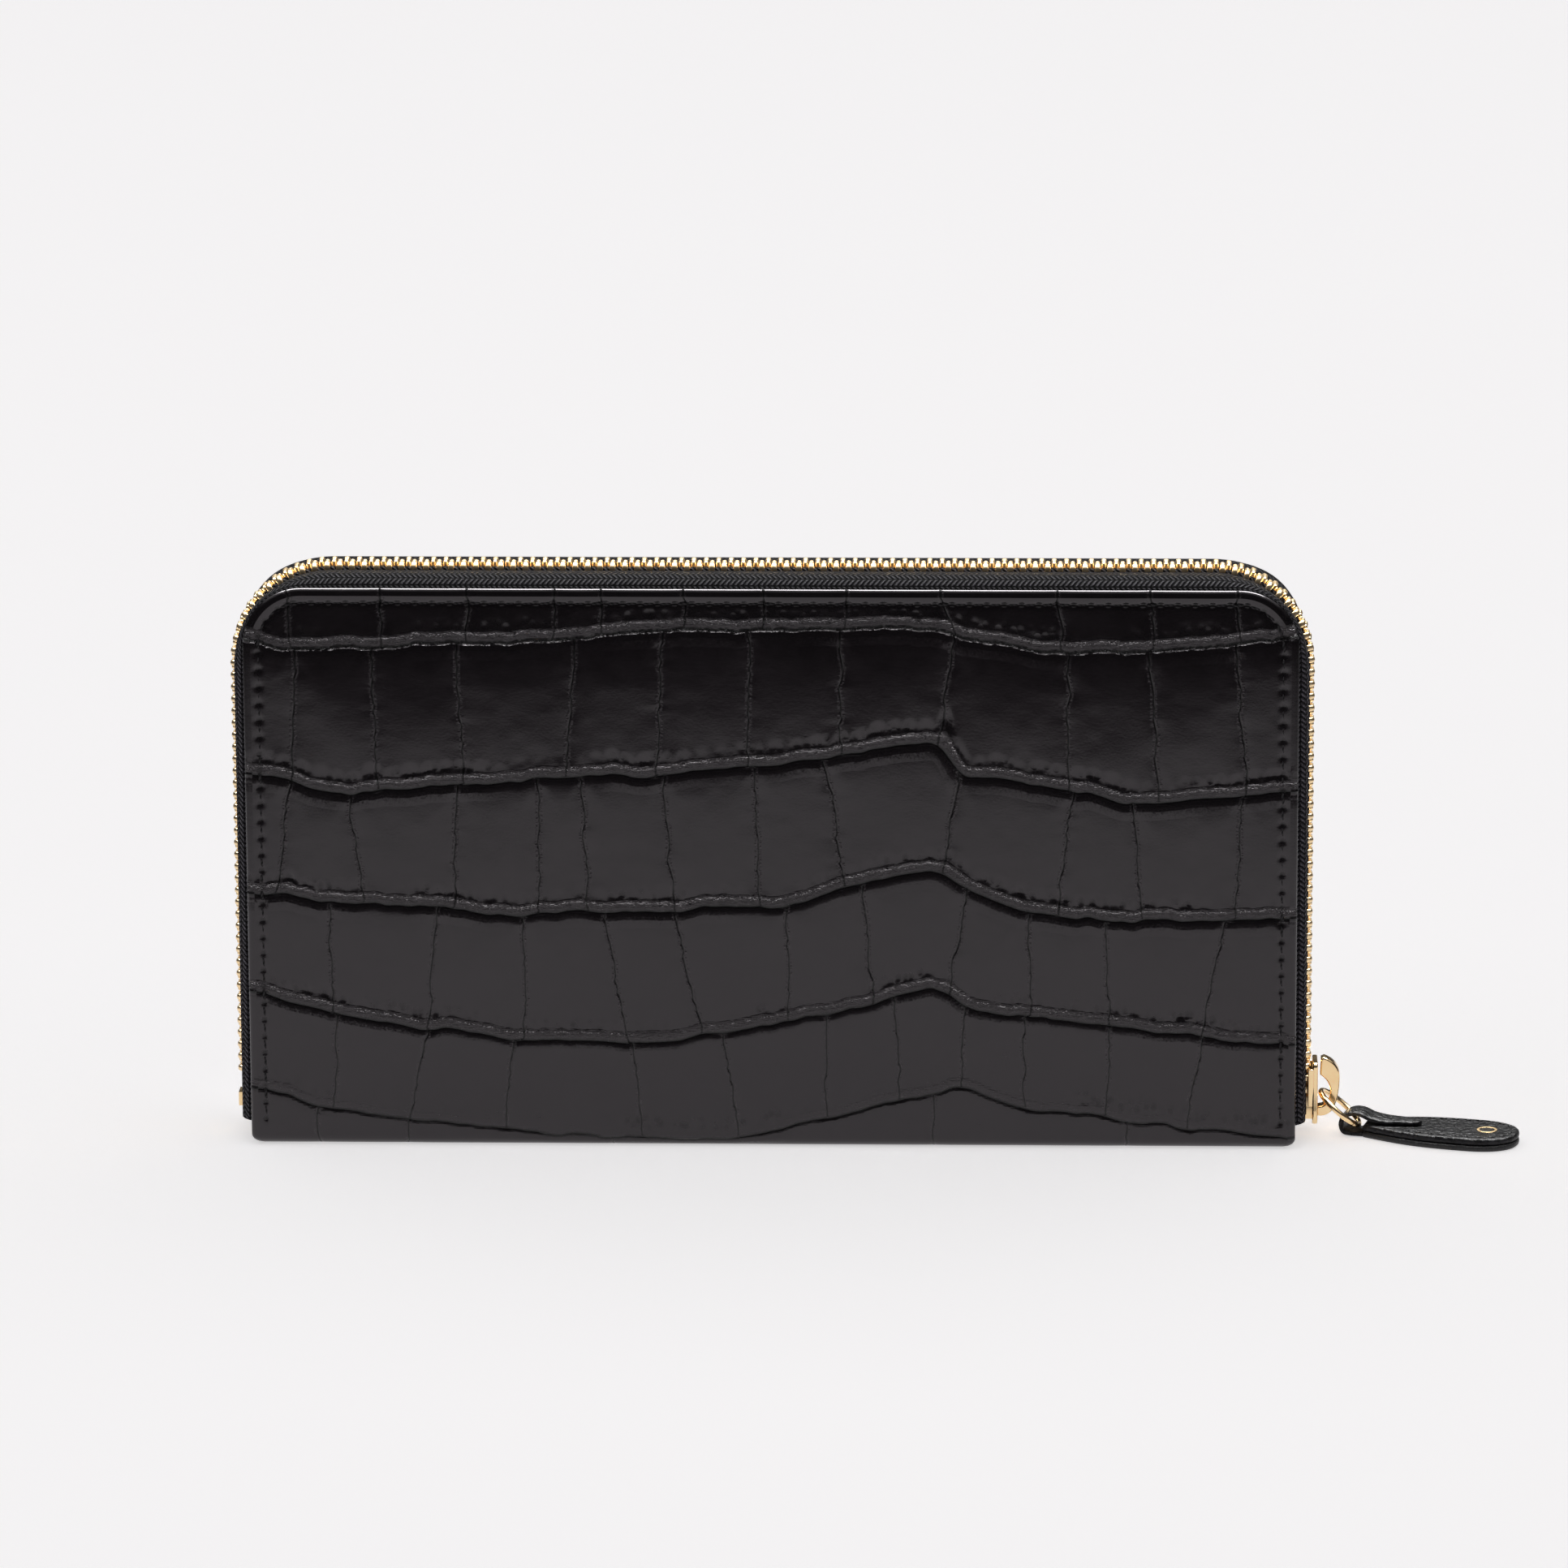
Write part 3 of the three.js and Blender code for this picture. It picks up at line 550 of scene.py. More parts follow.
LEATHER = croc_leather()
CALF = plain_leather("plain_leather", (0.010, 0.0092, 0.0098), (0.024, 0.022, 0.0235), 0.7, 0.035)
PULLER_LEATHER = plain_leather(
    "puller_leather", (0.0085, 0.0080, 0.0092), (0.021, 0.0195, 0.0225), 1.5, 0.09, 0.36, 0.16
)
GUSSET = plain_leather("gusset_leather", (0.009, 0.0086, 0.009), (0.020, 0.019, 0.020), 0.5, 0.03, 0.55)
TAPE = zip_tape()
THREAD = thread()
GOLD = gold_metal("gold_metal", 0.12, (0.98, 0.76, 0.46), (0.86, 0.60, 0.31))
TOOTH_GOLD = gold_metal("gold_teeth", 0.24, (1.0, 0.80, 0.52), (0.93, 0.68, 0.38))
FOIL = gold_metal("gold_foil", 0.24, (0.80, 0.60, 0.34), (0.58, 0.41, 0.22))
LINING = lining_cloth()
BOARD = stiffener_board()


# ---------------------------------------------------------------- embossed leather of the two covers

# Long creases across the cover, as (x, z) from the left edge to the right.
CREASES = (
    (
        (-98, 97), (-89, 95), (-73, 96), (-45, 97), (-20, 99), (12, 100), (31, 100), (36, 98), (54, 95),
        (80, 96), (98, 98),
    ),
    (
        (-98, 72), (-88, 70), (-79, 68), (-60, 70), (-20, 72), (10, 75), (31, 79), (35, 72), (52, 70),
        (66, 67), (98, 69),
    ),
    (
        (-98, 49), (-78, 47), (-46, 45), (-18, 46), (3, 47), (24, 53), (31, 54), (36, 50), (48, 46),
        (62, 44), (98, 45),
    ),
    (
        (-98, 30), (-82, 26), (-65, 23), (-47, 21), (-26, 20), (-9, 22), (17, 28), (31, 31), (37, 27),
        (62, 24), (98, 20),
    ),
    (
        (-98, 12), (-86, 8), (-73, 6), (-38, 2), (-10, 1), (7, 5), (23, 9), (35, 12), (48, 8), (70, 5),
        (98, 2),
    ),
)
CREASE_STRENGTH = (0.75, 1, 1, 0.85, 0.35)
DIMPLE_STRENGTH = (0.25, 1, 1, 0.85, 0.35)
FAR_AWAY = 9.0  # stands for the distance where no crease is near

# Short creases down each row of scales, as (x at the row's top, x at its foot).
CROSSINGS = (
    (
        (-89, -89), (-72, -72), (-56, -56), (-40, -40), (-31, -31), (-16, -16), (-1, -1), (14, 14),
        (31, 34), (53, 54), (70, 71), (86, 87),
    ),
    (
        (-88, -89), (-74, -73), (-58, -57), (-36, -38), (-20, -21), (-4, -4), (13, 13), (34, 31),
        (55, 55), (70, 72), (86, 88),
    ),
    (
        (-89, -92), (-78, -76), (-58, -59), (-43, -43), (-35, -34), (-20, -18), (-3, -2), (10, 14),
        (35, 32), (56, 53), (67, 69), (87, 86),
    ),
    (
        (-82, -82), (-62, -64), (-46, -46), (-31, -27), (-18, -13), (3, 3), (17, 19), (36, 33),
        (48, 48), (62, 63), (84, 80),
    ),
    (
        (-81, -82), (-64, -68), (-48, -50), (-26, -24), (-9, -6), (10, 10), (23, 24), (36, 35),
        (47, 47), (63, 62), (80, 77),
    ),
    ((-85, -84), (-68, -69), (-30, -30), (30, 30), (66, 66)),
)


def dimples(x, away, seed):
    """A row of uneven hollows just above a long crease, side by side like tooth marks."""
    pitch = 3.4
    place = x / pitch + 0.35 * noise(x, 0 * x, 7, seed)
    which = np.floor(place)
    luck = np.random.default_rng(seed).random((3, 256))[:, which.astype(int) % 256]
    across = (place - which - 0.5) * pitch / (1.0 + 0.35 * luck[0])
    up = (away - 2.3 - 1.0 * luck[1]) / (0.9 + 0.6 * luck[0])
    return (0.24 + 0.30 * luck[2]) * np.exp(-((across**2 + up**2) ** 1.6))


def nearest(first, second):
    """The shorter of two distances that have a sign."""
    return np.where(np.abs(second) < np.abs(first), second, first)


def long_creases(x, z, seed):
    """Each long crease's own z at every x, and the distance above it."""
    found = []
    for k, crease in enumerate(CREASES):
        at_x, at_z = np.array(crease, float).T
        wander = 0.45 * noise(x, 0 * x, 6, seed + k) + 0.20 * noise(x, 0 * x, 2.1, seed + 20 + k)
        centre = sum(np.interp(x + shift, at_x, at_z) for shift in (-2, -1, 0, 1, 2)) / 5 + wander
        slope = np.interp(x + 1.5, at_x, at_z) - np.interp(x - 1.5, at_x, at_z)
        found.append((centre, (z - centre) / np.sqrt(1 + (slope / 3) ** 2)))
    return found


def short_creases(x, z, rows, seed):
    """Distance across the nearest short crease. rows are the lines that part the rows of scales."""
    across = np.full_like(x, FAR_AWAY)
    for row, crossings in enumerate(CROSSINGS):
        top, foot = rows[row], rows[row + 1]
        inside = (z <= top) & (z > foot)
        share = np.clip((top - z) / np.maximum(top - foot, 1), 0, 1)
        for k, (x_top, x_foot) in enumerate(crossings):
            wander = 0.35 * noise(z, 0 * z, 4, seed + 80 + 13 * row + k)
            wander += 0.15 * noise(z, 0 * z, 1.2, seed + k)
            away = x - (x_top + (x_foot - x_top) * share) - wander
            across = nearest(across, np.where(inside, away, 99))
    return across


def croc_relief(x, z, seed):
    """Height of the embossing in millimetres, and the lines and marks that its material reads."""
    creases = long_creases(x, z, seed)
    rows = [np.full_like(x, HEIGHT)] + [centre for centre, _ in creases] + [np.full_like(x, -12.0)]
    across = short_creases(x, z, rows, seed)

    height = 0.05 * noise(x, z, 9, seed + 40) + 0.012 * noise(x, z, 2.6, seed + 41)
    patchy = np.clip(0.60 + 0.9 * noise(x, z, 12, seed + 50), 0.05, 1)
    above = np.full_like(x, FAR_AWAY)
    for k, (_, away) in enumerate(creases):
        above = nearest(above, away)
        brow = np.where(away > 0.9, bump_at(away - 0.9, 2.4), bump_at(away - 0.9, 0.7))
        brow *= 0.13 * (1 + 0.25 * noise(x, z, 1.6, seed + 70 + k))
        groove = 0.15 * np.where(away > 0, bump_at(away, 0.4), np.clip(1 + away / 0.9, 0, 1))
        height += CREASE_STRENGTH[k] * (brow - groove)
        height -= DIMPLE_STRENGTH[k] * dimples(x, away, seed + 110 + k) * patchy

    # Each scale is domed, and the corners where creases meet are pressed in.
    near = np.minimum(np.abs(above), np.abs(across) * 1.5)
    height += 0.26 * (1 - np.exp(-near / 2.2))
    height -= 0.15 * bump_at(across, 0.3 + 0.9 * np.exp(-np.abs(above) / 1.1)) * bump_at(above, 2.0)
    side_long, side_short = (np.clip(away / 0.6, -1, 1) for away in (above, across))
    lines = np.stack([np.abs(above), side_long, np.abs(across)], -1)
    return height, lines, np.stack([0 * x, patchy, side_short], -1)


def inset(x, z):
    """Distance in from the cover's edge, its foot left out."""
    over_x, over_z = np.abs(x) - (HALF_LENGTH - CORNER), z - (HEIGHT - CORNER)
    straight = np.minimum(HALF_LENGTH - np.abs(x), HEIGHT - z)
    return np.where((over_x > 0) & (over_z > 0), CORNER - np.hypot(over_x, over_z), straight)


def on_route(hub, radius, foot, distance):
    """Place and outward angle at a distance up the right end, over the top and down the left end."""
    rise, arc, top = hub[1] - foot, radius * math.pi / 2, 2 * hub[0]
    if distance < rise:
        return hub[0] + radius, foot + distance, 0.0
    if distance < rise + arc:
        angle = (distance - rise) / radius
        return hub[0] + radius * math.cos(angle), hub[1] + radius * math.sin(angle), angle
    if distance < rise + arc + top:
        return hub[0] - (distance - rise - arc), hub[1] + radius, math.pi / 2
    if distance < rise + 2 * arc + top:
        angle = math.pi / 2 + (distance - rise - arc - top) / radius
        return -hub[0] + radius * math.cos(angle), hub[1] + radius * math.sin(angle), angle
    return -hub[0] - radius, hub[1] - (distance - rise - 2 * arc - top), math.pi


def seam_places():
    """The middle of each stitch round a cover, and the seam's outward angle there."""
    hub = (HALF_LENGTH - CORNER, HEIGHT - CORNER)
    foot = 5.2
    length = 2 * (hub[1] - foot) + math.pi * (CORNER - SEAM_INSET) + 2 * hub[0]
    count = round(length / STITCH_PITCH)
    step = length / count
    return [on_route(hub, CORNER - SEAM_INSET, foot, (i + 0.5) * step) for i in range(count)]


def face_drop(x, z):
    """How far the cover's soft face lies behind its fullest part. It tilts back most towards the top."""
    from_top, from_end = HEIGHT - z, HALF_LENGTH - np.abs(x)
    top = 1.25 * np.clip(1 - (from_top - SEAM_INSET) / 34, 0, 1) ** 1.9
    end = 0.80 * np.clip(1 - (from_end - SEAM_INSET) / 26, 0, 1) ** 2
    foot = 0.60 * np.clip(1 - z / 26, 0, 1) ** 2
    inner = (top**4 + end**4 + foot**4) ** 0.25
    margin = np.clip((SEAM_INSET - inset(x, z)) / (SEAM_INSET - TURNED_EDGE), 0, 1)
    return inner * (1 - 0.45 * margin)


def cover_rows():
    """Rows of a cover's plain surface, from under the foot, round the fold and up to the top edge.

    Returns each row's y and z, its outward direction as (y, z), half its length, and its angle round
    the top corners.
    """
    corner = CORNER - TURNED_EDGE
    half = HALF_LENGTH - TURNED_EDGE
    rows = [(-6 - i * (DEPTH - FOLD - 6) / 3, 0, 0, 1, half, 0) for i in range(4)]
    for a in np.linspace(0, math.pi / 2, 7)[1:]:
        out_y, out_z = math.sin(a), math.cos(a)
        rows.append((-(DEPTH - FOLD) - FOLD * out_y, FOLD - FOLD * out_z, out_y, out_z, half, 0))
    for z in np.linspace(FOLD, HEIGHT - CORNER, 190)[1:]:
        rows.append((-DEPTH, z, 1, 0, half, 0))
    for a in np.linspace(0, math.pi / 2, 34)[1:]:
        reach = HALF_LENGTH - CORNER + corner * math.cos(a)
        rows.append((-DEPTH, HEIGHT - CORNER + corner * math.sin(a), 1, 0, reach, a))
    y, z, out_y, out_z, half, angles = np.array(rows, float).T
    tuck = np.clip(1 - z / 1.8, 0, 1)
    return y, z, out_y, out_z, half - 1.3 * (1 - np.sqrt(1 - tuck**2)), angles


def press_seam(height, marks, x, z, upright):
    """Sinks the seam's groove and its stitch holes into a cover's face."""
    height -= 0.16 * bump_at(inset(x, z) - SEAM_INSET, 0.42) * upright * np.clip((z - 3.2) / 1.5, 0, 1)
    for middle_x, middle_z, angle in seam_places():
        for end in (-0.5, 0.5):
            hole_x = middle_x - end * STITCH_PITCH * math.sin(angle)
            hole_z = middle_z + end * STITCH_PITCH * math.cos(angle)
            near = np.abs(z[:, 0] - hole_z) < 2.2
            away = np.hypot(x[near] - hole_x, z[near] - hole_z)
            height[near] -= 0.13 * bump_at(away, 0.5) * upright[near]
            # The hole mask goes to the material, which paints the stitch holes darker as painted shade.
            marks[near, :, 0] = np.maximum(marks[near, :, 0], bump_at(away, 0.55) * upright[near])


def cover_rim(points, thick, inward, angles, flip):
    """The half-round from a cover's face to the leather's back, with a strip tucked in behind it.

    It runs up the left end, along the top and down the right end. Returns the (row, column) of the
    face that each station starts from, seven points for each station, and the faces.
    """
    top, last = points.shape[0] - 1, points.shape[1] - 1
    edge = [(row, 0) for row in range(top)] + [(top, column) for column in range(last + 1)]
    edge += [(row, last) for row in reversed(range(top))]
    rim, stations = [], []
    for row, column in edge:
        stations.append([row * (last + 1) + column])
        stations[-1] += [points.size // 3 + len(rim) + j for j in range(7)]
        end = 1 if column else -1
        out = np.array([end * math.cos(angles[row]), 0, math.sin(angles[row])])
        for t in np.linspace(0, math.pi, 7)[1:]:
            push = thick[row, column] / 2 * (1 - math.cos(t))
            rim.append(points[row, column] + out * TURNED_EDGE * math.sin(t) + inward[row, column] * push)
        rim.append(rim[-1] - out * 3)
    faces = []
    for here, after in zip(stations, stations[1:]):
        for quad in zip(here, here[1:], after[1:], after):
            faces.append(quad[::-1] if flip else quad)
    return tuple(np.array(edge).T), np.array(rim), faces


def cover_leather(side, name):
    """A cover's outer leather: embossed face, turned edge, and the fold under the wallet's foot."""
    columns = 361
    y, z, out_y, out_z, half, angles = cover_rows()
    x = half[:, None] * np.linspace(-1, 1, columns)
    y, z, out_y, out_z = (np.repeat(row[:, None], columns, 1) for row in (y, z, out_y, out_z))
    upright = out_y >= 1

    height, lines, marks = croc_relief(-side * x, z - FOLD * (1 - out_y), 3 if side < 0 else 211)
    quiet = np.clip(z / 4, 0.15, 1) * np.clip((inset(x, z) - 0.3) / 2.2, 0.25, 1)
    height = height * quiet - 0.12
    press_seam(height, marks, x, z, upright)
    height += upright * (FULLNESS - face_drop(x, z)) * np.clip((z - FOLD) / 3, 0, 1)

    points = np.stack([x, side * (out_y * height - y), z - out_z * height], -1)
    thick = np.where(upright, side * points[..., 1] - INNER_LEATHER + 0.05, 1.2)
    inward = np.stack([0 * x, -side * out_y, out_z], -1)
    faces = grid_faces(len(half), columns, flip=side > 0)
    on_edge, rim, rim_faces = cover_rim(points, thick, inward, angles, side > 0)
    values = {
        key: np.concatenate([field.reshape(-1, 3), np.repeat(field[on_edge], 7, axis=0)])
        for key, field in (("lines", lines), ("marks", marks))
    }
    points, faces = np.concatenate([points.reshape(-1, 3), rim]), faces + rim_faces
    node = [f"{name}_panel"]
    piece = add_mesh(f"{name}_leather", None, points, faces, LEATHER, node, values, 80)
    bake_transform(piece)


def spine_leather():
    """The leather under the wallet's foot, between the two covers' folds."""
    turn, columns, rows = 0.55, 180, 13
    x = np.linspace(-1, 1, columns)[None, :] * (HALF_LENGTH - turn - 1.3) * np.ones((rows, 1))
    y = np.linspace(-6.2, 6.2, rows)[:, None] * np.ones((1, columns))
    z = 0.14 + 0.05 * noise(x, y, 5, 77)
    outer = np.stack([x, y, z], -1)
    rings = []
    for row in range(rows):
        ends = []
        for end in (1, -1):
            at = outer[row, -1 if end > 0 else 0]
            arc = np.linspace(0, math.pi, 7)[1:]
            ends.append([at + np.array([end * turn * math.sin(t), 0, turn * (1 - math.cos(t))]) for t in arc])
        rings.append(np.concatenate([outer[row], ends[0], ends[1][::-1]]))
    points, faces = tube(rings)
    wrinkled = 0.3 * np.abs(noise(points[:, 0], points[:, 1], 6, 9))
    values = {
        "lines": np.tile([9.0, 1.0, 9.0], (len(points), 1)),
        "marks": np.stack([0 * wrinkled, wrinkled, 1 + 0 * wrinkled], -1),
    }
    add_mesh("spine_skin", "spine", points, faces, LEATHER, ["spine_leather"], values, 80)


# ---------------------------------------------------------------- stitches


def stitch_body(length, thick):
    """One stitch: a plump run of thread that dips into the leather at both ends."""
    rings = []
    for along in np.linspace(-1, 1, 9):
        radius = thick / 2 * math.sqrt(max(1 - along**6, 0.02))
        sink = 0.55 * thick * along**4
        rings.append([
            (radius * math.sin(t) - sink, radius * math.cos(t), along * length / 2) for t in around(8)
        ])
    return tube(rings)


def stitch_row(name, places, length, thick, body, stands_for=()):
    """Stitches at places of (origin, out of the leather, across the seam, along it)."""
    template = stitch_body(length, thick)
    points, faces = replicate(template, places)
    out, across, along = template[0].T
    run = np.tile(np.stack([along, np.arctan2(out, across), 0 * out], -1), (len(places), 1))
    add_mesh(name, body, points, faces, THREAD, stands_for, {"run": run}, 80)


def cover_seam(side, name):
    places = []
    for x, z, angle in seam_places():
        lean = 0.10 * side
        along = np.array([-math.sin(angle), 0, math.cos(angle)])
        across = np.array([math.cos(angle), 0, math.sin(angle)])
        along, across = along + lean * across, across - lean * along
        face = DEPTH + FULLNESS - float(face_drop(np.array(x), np.array(z))) - 0.2
        places.append(((x, side * face, z), (0, side, 0), across, along))
    stitch_row(f"{name}_seam", places, 2.5, 0.62, f"{name}_cover", [f"{name}_stitching"])


# ---------------------------------------------------------------- zips


def leather_radius(angle):
    """Distance from a corner's hub to the leather's edge, in the direction of an angle."""
    across = HALF_LENGTH - CORNER
    cos, sin = math.cos(angle), math.sin(angle)
    straight = (HALF_LENGTH - HUB[0]) / max(cos, sin)
    if HUB[0] + straight * min(cos, sin) <= across:
        return straight
    along = (across - HUB[0]) * (cos + sin)
    return along + math.sqrt(along**2 - 2 * (across - HUB[0]) ** 2 + CORNER**2)


def strip_round(side, section, foot):
    """A strip round a cover, through the section at close stations, with (along, across) for its weave."""
    straight = HALF_LENGTH - HUB[0]
    stations = [(HUB[0], z, 0.0, straight) for z in np.linspace(foot, HUB[1], 12)[:-1]]
    turns = np.linspace(0, math.pi / 2, 22)
    stations += [(HUB[0], HUB[1], a, leather_radius(a)) for a in turns]
    stations += [(x, HUB[1], math.pi / 2, straight) for x in np.linspace(HUB[0], -HUB[0], 30)[1:-1]]
    stations += [(-HUB[0], HUB[1], math.pi / 2 + a, leather_radius(math.pi / 2 - a)) for a in turns]
    stations += [(-HUB[0], z, math.pi, straight) for z in np.linspace(HUB[1], foot, 12)[1:]]
    chain = [(x + CHAIN_RADIUS * math.cos(a), z + CHAIN_RADIUS * math.sin(a)) for x, z, a, _ in stations]
    across = travelled(np.array(section)[:, [0, 2]])
    rings, run = [], []
    for (x, z, angle, edge), along in zip(stations, travelled(chain)):
        ring = []
        for y, share, offset in section:
            reach = edge + (CHAIN_RADIUS - edge) * share + offset
            ring.append((x + reach * math.cos(angle), side * y, z + reach * math.sin(angle)))
        rings.append(ring)
        run += [(along, a, 0) for a in across]
    points, faces = tube(rings)
    return points, faces, run


def main_tape(side, name):
    """The woven tape from under the leather's edge to the cord that the teeth are clamped on."""
    outer = [(9.75, 0, -6), (9.75, 0, -0.5), (9.65, 0.04, 0.05), (9.2, 0.22, 0.3), (8.3, 0.52, 0.42)]
    outer += [(7.1, 0.8, 0.42), (5.8, 0.94, 0.20), (4.4, 1, -0.04), (3.2, 1, -0.22), (2.75, 1, -0.22)]
    turns = np.linspace(0.6, 2 * math.pi - 0.6, 9)
    cord = [(2.2 + 0.5 * math.cos(t), 1, 0.55 * math.sin(t) - 0.2) for t in turns]
    inner = [(2.75, 1, -0.6), (4.4, 1, -0.42), (5.8, 0.94, -0.2), (7.0, 0.8, -0.08), (8.1, 0.52, -0.06)]
    inner += [(8.9, 0.22, -0.15), (9.25, 0, -0.6), (9.25, 0, -6)]
    points, faces, run = strip_round(side, outer + cord + inner, span(f"{name}_zip_tape")[0][2])
    node, values = [f"{name}_zip_tape"], {"run": run}
    add_mesh(f"{name}_tape", f"{name}_cover", points, faces, TAPE, node, values)


def tooth_body(kind, side):
    """One cast tooth: legs clamped on the cord, a waist, and a rounded head that reaches past the middle."""
    root, lap, half = kind["chain"] - 0.05, kind["lap"], kind["half"]
    legs = [(root + 0.34, 0.42, 0.34), (root + 0.24, 0.54, 0.60), (root + 0.02, 0.58, 0.88)]
    legs += [(root - 0.35, 0.58, 1.07), (root - 0.85, 0.55, 1.07)]
    waist = [(0.75, 0.40, 0.94), (0.35, 0.34, 0.88), (0.05, 0.42, 0.96)]
    head = [(-0.6 * lap, 0.46, 1.0), (0.08 - lap, 0.38, 0.90), (-lap, 0.22, 0.66)]
    rings = []
    for y, width, rise in legs + waist + head:
        ring = []
        for t in around(12):
            c, s = math.cos(t), math.sin(t)
            round_c, round_s = (math.copysign(abs(v) ** 0.55, v) for v in (c, s))
            ring.append((half * rise * round_s, side * y, width * round_c))
        rings.append(ring)
    return tube(rings)


def teeth_row(name, kind, side, spots, body, stands_for, extra=()):
    """A row of teeth at spots of (x, z, outward angle)."""
    template = tooth_body(kind, side)
    places = []
    for x, z, angle in spots:
        cos, sin = math.cos(angle), math.sin(angle)
        places.append(((x, 0, z), (cos, 0, sin), (0, 1, 0), (-sin, 0, cos)))
    points, faces = merge([replicate(template, places), *extra])
    add_mesh(name, body, points, faces, TOOTH_GOLD, [stands_for], sharp=50)


def main_teeth(side, name):
    foot, left_foot = 8.6, 9.2
    length = 2 * (HUB[1] - foot) + CHAIN_RADIUS * math.pi + 2 * HUB[0] - (left_foot - foot)
    start = 0.6 if side < 0 else 0.6 + PITCH / 2
    count = int((length - start) // PITCH)
    spots = [on_route(HUB, CHAIN_RADIUS, foot, start + i * PITCH) for i in range(count)]
    low, high = sorted((side * 1.45, side * 2.15))
    points, faces = plate(rounded(-1, 1, low, high, 0.25), -1, 1, 0.2)
    end_stop = (points + np.array([CHAIN_X, 0, foot - 1.8]), faces)
    teeth_row(f"{name}_teeth", MAIN_ZIP, side, spots, f"{name}_cover", f"{name}_zip_teeth", [end_stop])


def slider_plates(kind):
    """The slider's shell as (out, across, along) bodies: two bevelled plates, four lips and the wedge."""
    body, lead, rear = kind["body"], kind["lead"], kind["rear"]
    inside = kind["half"] + 0.3
    shape = outline(
        (2 - lead, 0),
        ((lead - 2, 0),), ((lead, 0), (lead, 2.2)),
        ((rear, body * 0.5), (rear, body * 0.62)), ((rear, body - 1),),
        ((rear, body), (rear - 1, body)), ((1 - rear, body),), ((-rear, body), (-rear, body - 1)),
        ((-rear, body * 0.62),), ((-rear, body * 0.5), (-lead, 2.2)),
        ((-lead, 0), (2.01 - lead, 0)),
    )
    wedge = outline(
        (-0.9, 0.5), ((0.9, 0.5),), ((0.9, body * 0.3),), ((0, body * 0.42),), ((-0.9, body * 0.3),)
    )
    plates = [(shape, low, low + 1, 0.3) for low in (inside, -inside - 1)]
    plates.append((wedge, -inside - 0.5, inside + 0.5, 0.15))
    for side in (-1, 1):
        near, far = sorted((side * (kind["chain"] + 0.35), side * (rear - 0.02)))
        lip = rounded(near, far, body * 0.3, body - 1.2, 0.2)
        plates += [(lip, *sorted((face * 0.55, face * (inside + 0.5))), 0.15) for face in (-1, 1)]
    points, faces = merge([plate(*each) for each in plates])
    return points[:, [2, 0, 1]], faces


def crown_hook(scale, width):
    """The hook that holds the pull, as (out, across, along). Its head turns back to the plate."""
    shape = outline(
        (-0.2, 1.2),
        ((0, 1.2),), ((2.6, 0.9), (3.4, 3.6)), ((4.3, 6.4), (4.1, 9.4)), ((3.8, 11.6), (1.2, 12.6)),
        ((0.6, 12.3),), ((0.45, 9.2),), ((2.3, 8), (2.4, 6)), ((2.3, 4), (0.9, 3.2)), ((-0.2, 3),),
    )
    shape = [(u * scale, v * scale) for u, v in shape]
    points, faces = plate(shape, -width / 2, width / 2, 0.35)
    return points[:, [0, 2, 1]], faces


def facing_each_out(points, faces):
    """Each closed body's faces, turned outwards."""
    shell = bmesh.new()
    made = [shell.verts.new(p) for p in points]
    for face in faces:
        shell.faces.new([made[i] for i in face])
    bmesh.ops.recalc_face_normals(shell, faces=shell.faces)
    shell.verts.index_update()
    turned = [[v.index for v in face.verts] for face in shell.faces]
    shell.free()
    return turned


def metal_piece(name, shape, axes, stands_for, body):
    """A cast gold piece from (points, faces), set down in the frame that axes give, with crisp soft edges."""
    points = framed(shape[0], *axes)
    faces = facing_each_out(points, shape[1])
    piece = add_mesh(name, body, points, faces, GOLD, [stands_for], sharp=50)
    piece.modifiers.new("even", "WEIGHTED_NORMAL").keep_sharp = True


def slider(name, kind, origin, out, along, crown_scale, crown_width):
    """A slider's shell and the hook on it. Its body is named like it."""
    axes = (out, (0, 1, 0), along)
    metal_piece(f"{name}_shell", slider_plates(kind), (origin, *axes), f"{name}_body", name)
    lifted = np.array(origin) + np.array(out, float) * (kind["half"] + 1.3)
    metal_piece(f"{name}_hook", crown_hook(crown_scale, crown_width), (lifted, *axes), f"{name}_crown", name)


def main_slider():
    low = span("slider_body")[0]
    slider("slider", MAIN_ZIP, (CHAIN_X, 0, low[2]), (1, 0, 0), (0, 0, 1), 1, 2.8)


def coin_slider():
    low, high = span("coin_slider_body")
    origin = (high[0], 0, (low[2] + high[2]) / 2)
    slider("coin_slider", COIN_ZIP, origin, (0, 0, 1), (-1, 0, 0), 0.72, 2)
    bar = 0.45
    eye = rounded(-6.2, -bar, -1.25, 1.25, 0.6)
    tab = plate(rounded(-12.5, bar, -2, 2, 0.9), -0.35, 0.35, 0.2, [eye])
    axes = (pivot("coin_pull_swing"), (1, 0, 0), (0, 1, 0), (0, 0, 1))
    metal_piece("coin_tab", tab, axes, "coin_pull_tab", "coin_pull")


